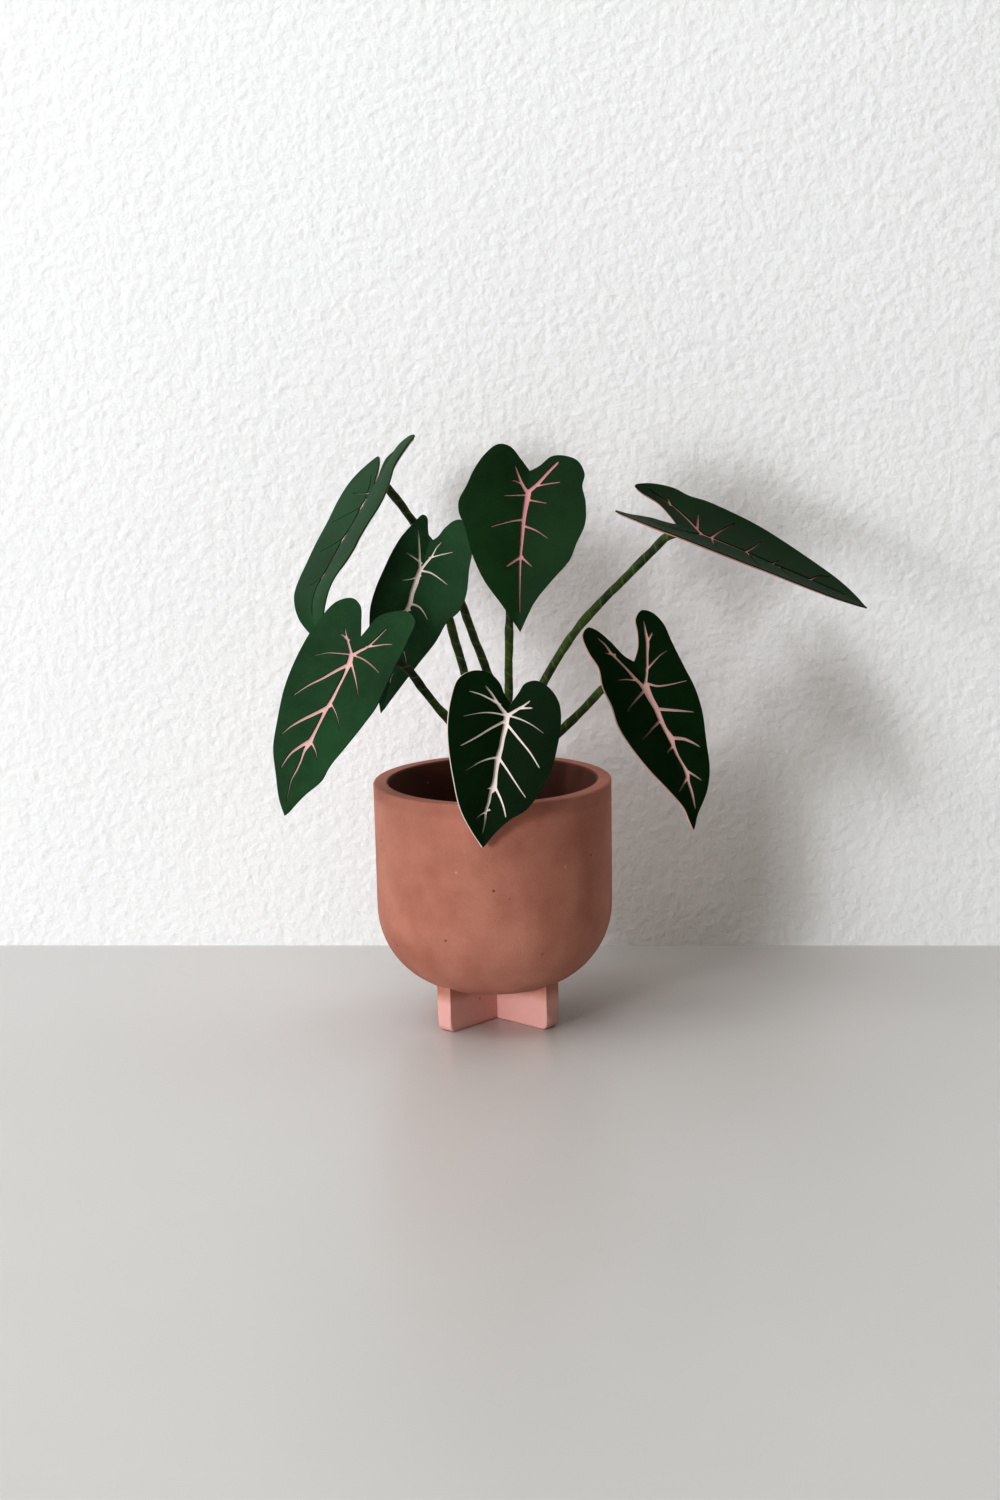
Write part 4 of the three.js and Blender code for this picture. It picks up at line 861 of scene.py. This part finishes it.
# A solid that fills the bowl, its top crowned and uneven and strewn with crumbs.
def makeFill(material):
    edge = arc(bottomCentre(), pot["bottomCurve"] - pot["wall"] - fill["gap"], -90, 0, fill["bottomSteps"])
    wall, top = pot["shoulderRadius"] - pot["wall"] - fill["gap"], fill["top"]
    profile = [(pot["axis"], edge[0][1])] + edge + [(wall, top - fill["edgeDrop"])]
    for i in range(fill["rings"] + 1):
        share = i / fill["rings"]
        rise = (fill["crown"] + fill["lastRise"]) * math.sqrt(share)
        profile.append((max(wall * (1 - share), pot["axis"]), top - fill["firstDrop"] + rise))
    corners, faces = lathe(profile, fill["sides"])
    rough = [Vector(corner) for corner in corners]
    for corner in rough:
        if corner.z > top - fill["roughFrom"]:
            lump = noise.fractal(corner / fill["roughLength"], *fill["roughFractal"])
            corner.z += fill["roughness"] * lump
    lift, sizeShare = fill["crumbLift"]
    for _ in range(fill["crumbs"]):
        distance = (wall - fill["crumbInset"]) * math.sqrt(random.random())
        angle = random.uniform(0, 2 * math.pi)
        size = random.uniform(*fill["crumbSize"]) ** fill["crumbSkew"]
        height = top + lift + size * sizeShare
        place = Vector((distance * math.cos(angle), distance * math.sin(angle), height))
        bm = bmesh.new()
        bmesh.ops.create_icosphere(bm, subdivisions=2, radius=size)
        squash = Vector([random.uniform(*span) for span in fill["crumbSquash"]])
        start = len(rough)
        for vert in bm.verts:
            bump = fill["crumbBump"] * noise.noise(vert.co / size * fill["crumbBumpScale"] + place)
            rough.append(place + vert.co * (1 + bump) * squash)
        faces += [tuple(start + v.index for v in f.verts) for f in bm.faces]
        bm.free()
    return makePiece("earthFill", rough, faces, material, sharpAngle=60)


settle(makeFill(makeEarth()), "soil_fill")
print("pot filled")


stage = {
    "size": 3000, "wallPlace": 109, "wallTurn": -4.2, "cloud": (6.0, 1.0), "shade": 0.97,
    "floor": (206, 203, 201), "floorRoughness": 0.32, "wall": (242, 242, 242), "wallRoughness": 0.9,
    "plaster": (230.0, 2.5), "relief": {"Strength": 0.4, "Distance": 0.0024},
}


def makeStageLook(name, colour, roughness):
    material, tree, shader = newMaterial(name)
    shaded = tuple(c * stage["shade"] for c in colour)
    base = mixColour(tree, mottled(tree, *stage["cloud"]), shaded, colour)
    tree.links.new(base, shader.inputs["Base Color"])
    shader.inputs["Roughness"].default_value = roughness
    return material, tree, shader


# Rough plaster. The wall is only there from the front, so the plant can be seen from behind.
def makeWallLook():
    material, tree, shader = makeStageLook("stageWallLook", stage["wall"], stage["wallRoughness"])
    place = addNode(tree, "ShaderNodeTexCoord").outputs["Object"]
    plaster = noiseNode(tree, place, *stage["plaster"])
    bump = addNode(tree, "ShaderNodeBump", {"Height": plaster.outputs[0], **stage["relief"]})
    tree.links.new(bump.outputs[0], shader.inputs["Normal"])
    clear = addNode(tree, "ShaderNodeBsdfTransparent").outputs[0]
    facing = addNode(tree, "ShaderNodeNewGeometry").outputs["Backfacing"]
    both = addNode(tree, "ShaderNodeMixShader", {0: facing, 1: shader.outputs[0], 2: clear})
    tree.links.new(both.outputs[0], tree.nodes["Material Output"].inputs["Surface"])
    return material


def makeStage():
    far, slope = stage["size"], math.tan(math.radians(stage["wallTurn"]))
    left, right = [stage["wallPlace"] + x * slope for x in (-far, far)]
    floorLook = makeStageLook("stageFloorLook", stage["floor"], stage["floorRoughness"])[0]
    floorCorners = [(-far, -far, 0), (far, -far, 0), (far, right, 0), (-far, left, 0)]
    wallCorners = [(-far, left, 0), (far, right, 0), (far, right, far), (-far, left, far)]
    floor = makePiece("stageFloor", floorCorners, [(0, 1, 2, 3)], floorLook)
    wall = makePiece("stageWall", wallCorners, [(0, 1, 2, 3)], makeWallLook())


# A large window with a brighter pane in it, a second one further back, and light from above.
lights = {
    "window": {"place": (-2480, -3060, 770), "size": (1100, 1300), "power": 72},
    "pane": {"place": (-2480, -3060, 770), "size": (300, 360), "power": 20},
    "secondWindow": {"place": (-2510, -1449, 886), "size": (1200, 1400), "power": 13},
    "room": {"place": (-900, -700, 2300), "size": (1800, 1800), "power": 38},
}
daylight = {"colour": (0.93, 0.965, 1), "aim": (0, 0, 110)}


def makeLight(name, look):
    lamp = bpy.data.lights.new(name, "AREA")
    lamp.shape = "RECTANGLE"
    lamp.size, lamp.size_y = [side * mm for side in look["size"]]
    lamp.energy = look["power"]
    lamp.color = daylight["colour"]
    light = bpy.data.objects.new(name, lamp)
    light.location = Vector(look["place"]) * mm
    aim = Vector(daylight["aim"]) * mm - light.location
    light.rotation_euler = aim.to_track_quat("-Z", "Y").to_euler()
    bpy.context.collection.objects.link(light)


camera = {"place": (4.4, -1231, 372), "pitch": 9.57, "roll": -1.12, "lens": 72, "sensor": 36, "shift": -0.078}


def makeCamera():
    data = bpy.data.cameras.new("photoCamera")
    data.lens, data.sensor_width, data.shift_y = camera["lens"], camera["sensor"], camera["shift"]
    eye = bpy.data.objects.new("photoCamera", data)
    pitch = Matrix.Rotation(math.radians(90 - camera["pitch"]), 4, "X")
    roll = Matrix.Rotation(math.radians(camera["roll"]), 4, "Z")
    eye.matrix_world = Matrix.Translation(Vector(camera["place"]) * mm) @ pitch @ roll
    bpy.context.collection.objects.link(eye)
    bpy.context.scene.camera = eye


surround = {
    "glow": {"Color": (1, 0.87, 0.52, 1), "Strength": 0.14},
    "seen": {"Color": (0.8, 0.8, 0.79, 1), "Strength": 0.75},
    "gamma": 0.86,  # deepens the darks
}


# A faint warm glow all round, which the camera itself sees as plain grey.
def makeWorld():
    world = bpy.data.worlds.new("softRoom")
    world.use_nodes = True
    tree = world.node_tree
    glow, plain = tree.nodes["Background"], addNode(tree, "ShaderNodeBackground", surround["seen"])
    for key, value in surround["glow"].items():
        glow.inputs[key].default_value = value
    seen = addNode(tree, "ShaderNodeLightPath").outputs["Is Camera Ray"]
    either = addNode(tree, "ShaderNodeMixShader", {0: seen, 1: glow.outputs[0], 2: plain.outputs[0]})
    tree.links.new(either.outputs[0], tree.nodes["World Output"].inputs["Surface"])
    bpy.context.scene.world = world


makeStage()
for name, look in lights.items():
    makeLight(name, look)
makeCamera()
makeWorld()
bpy.context.scene.view_settings.view_transform = "Standard"
bpy.context.scene.view_settings.gamma = surround["gamma"]
print("stage lit and camera set")
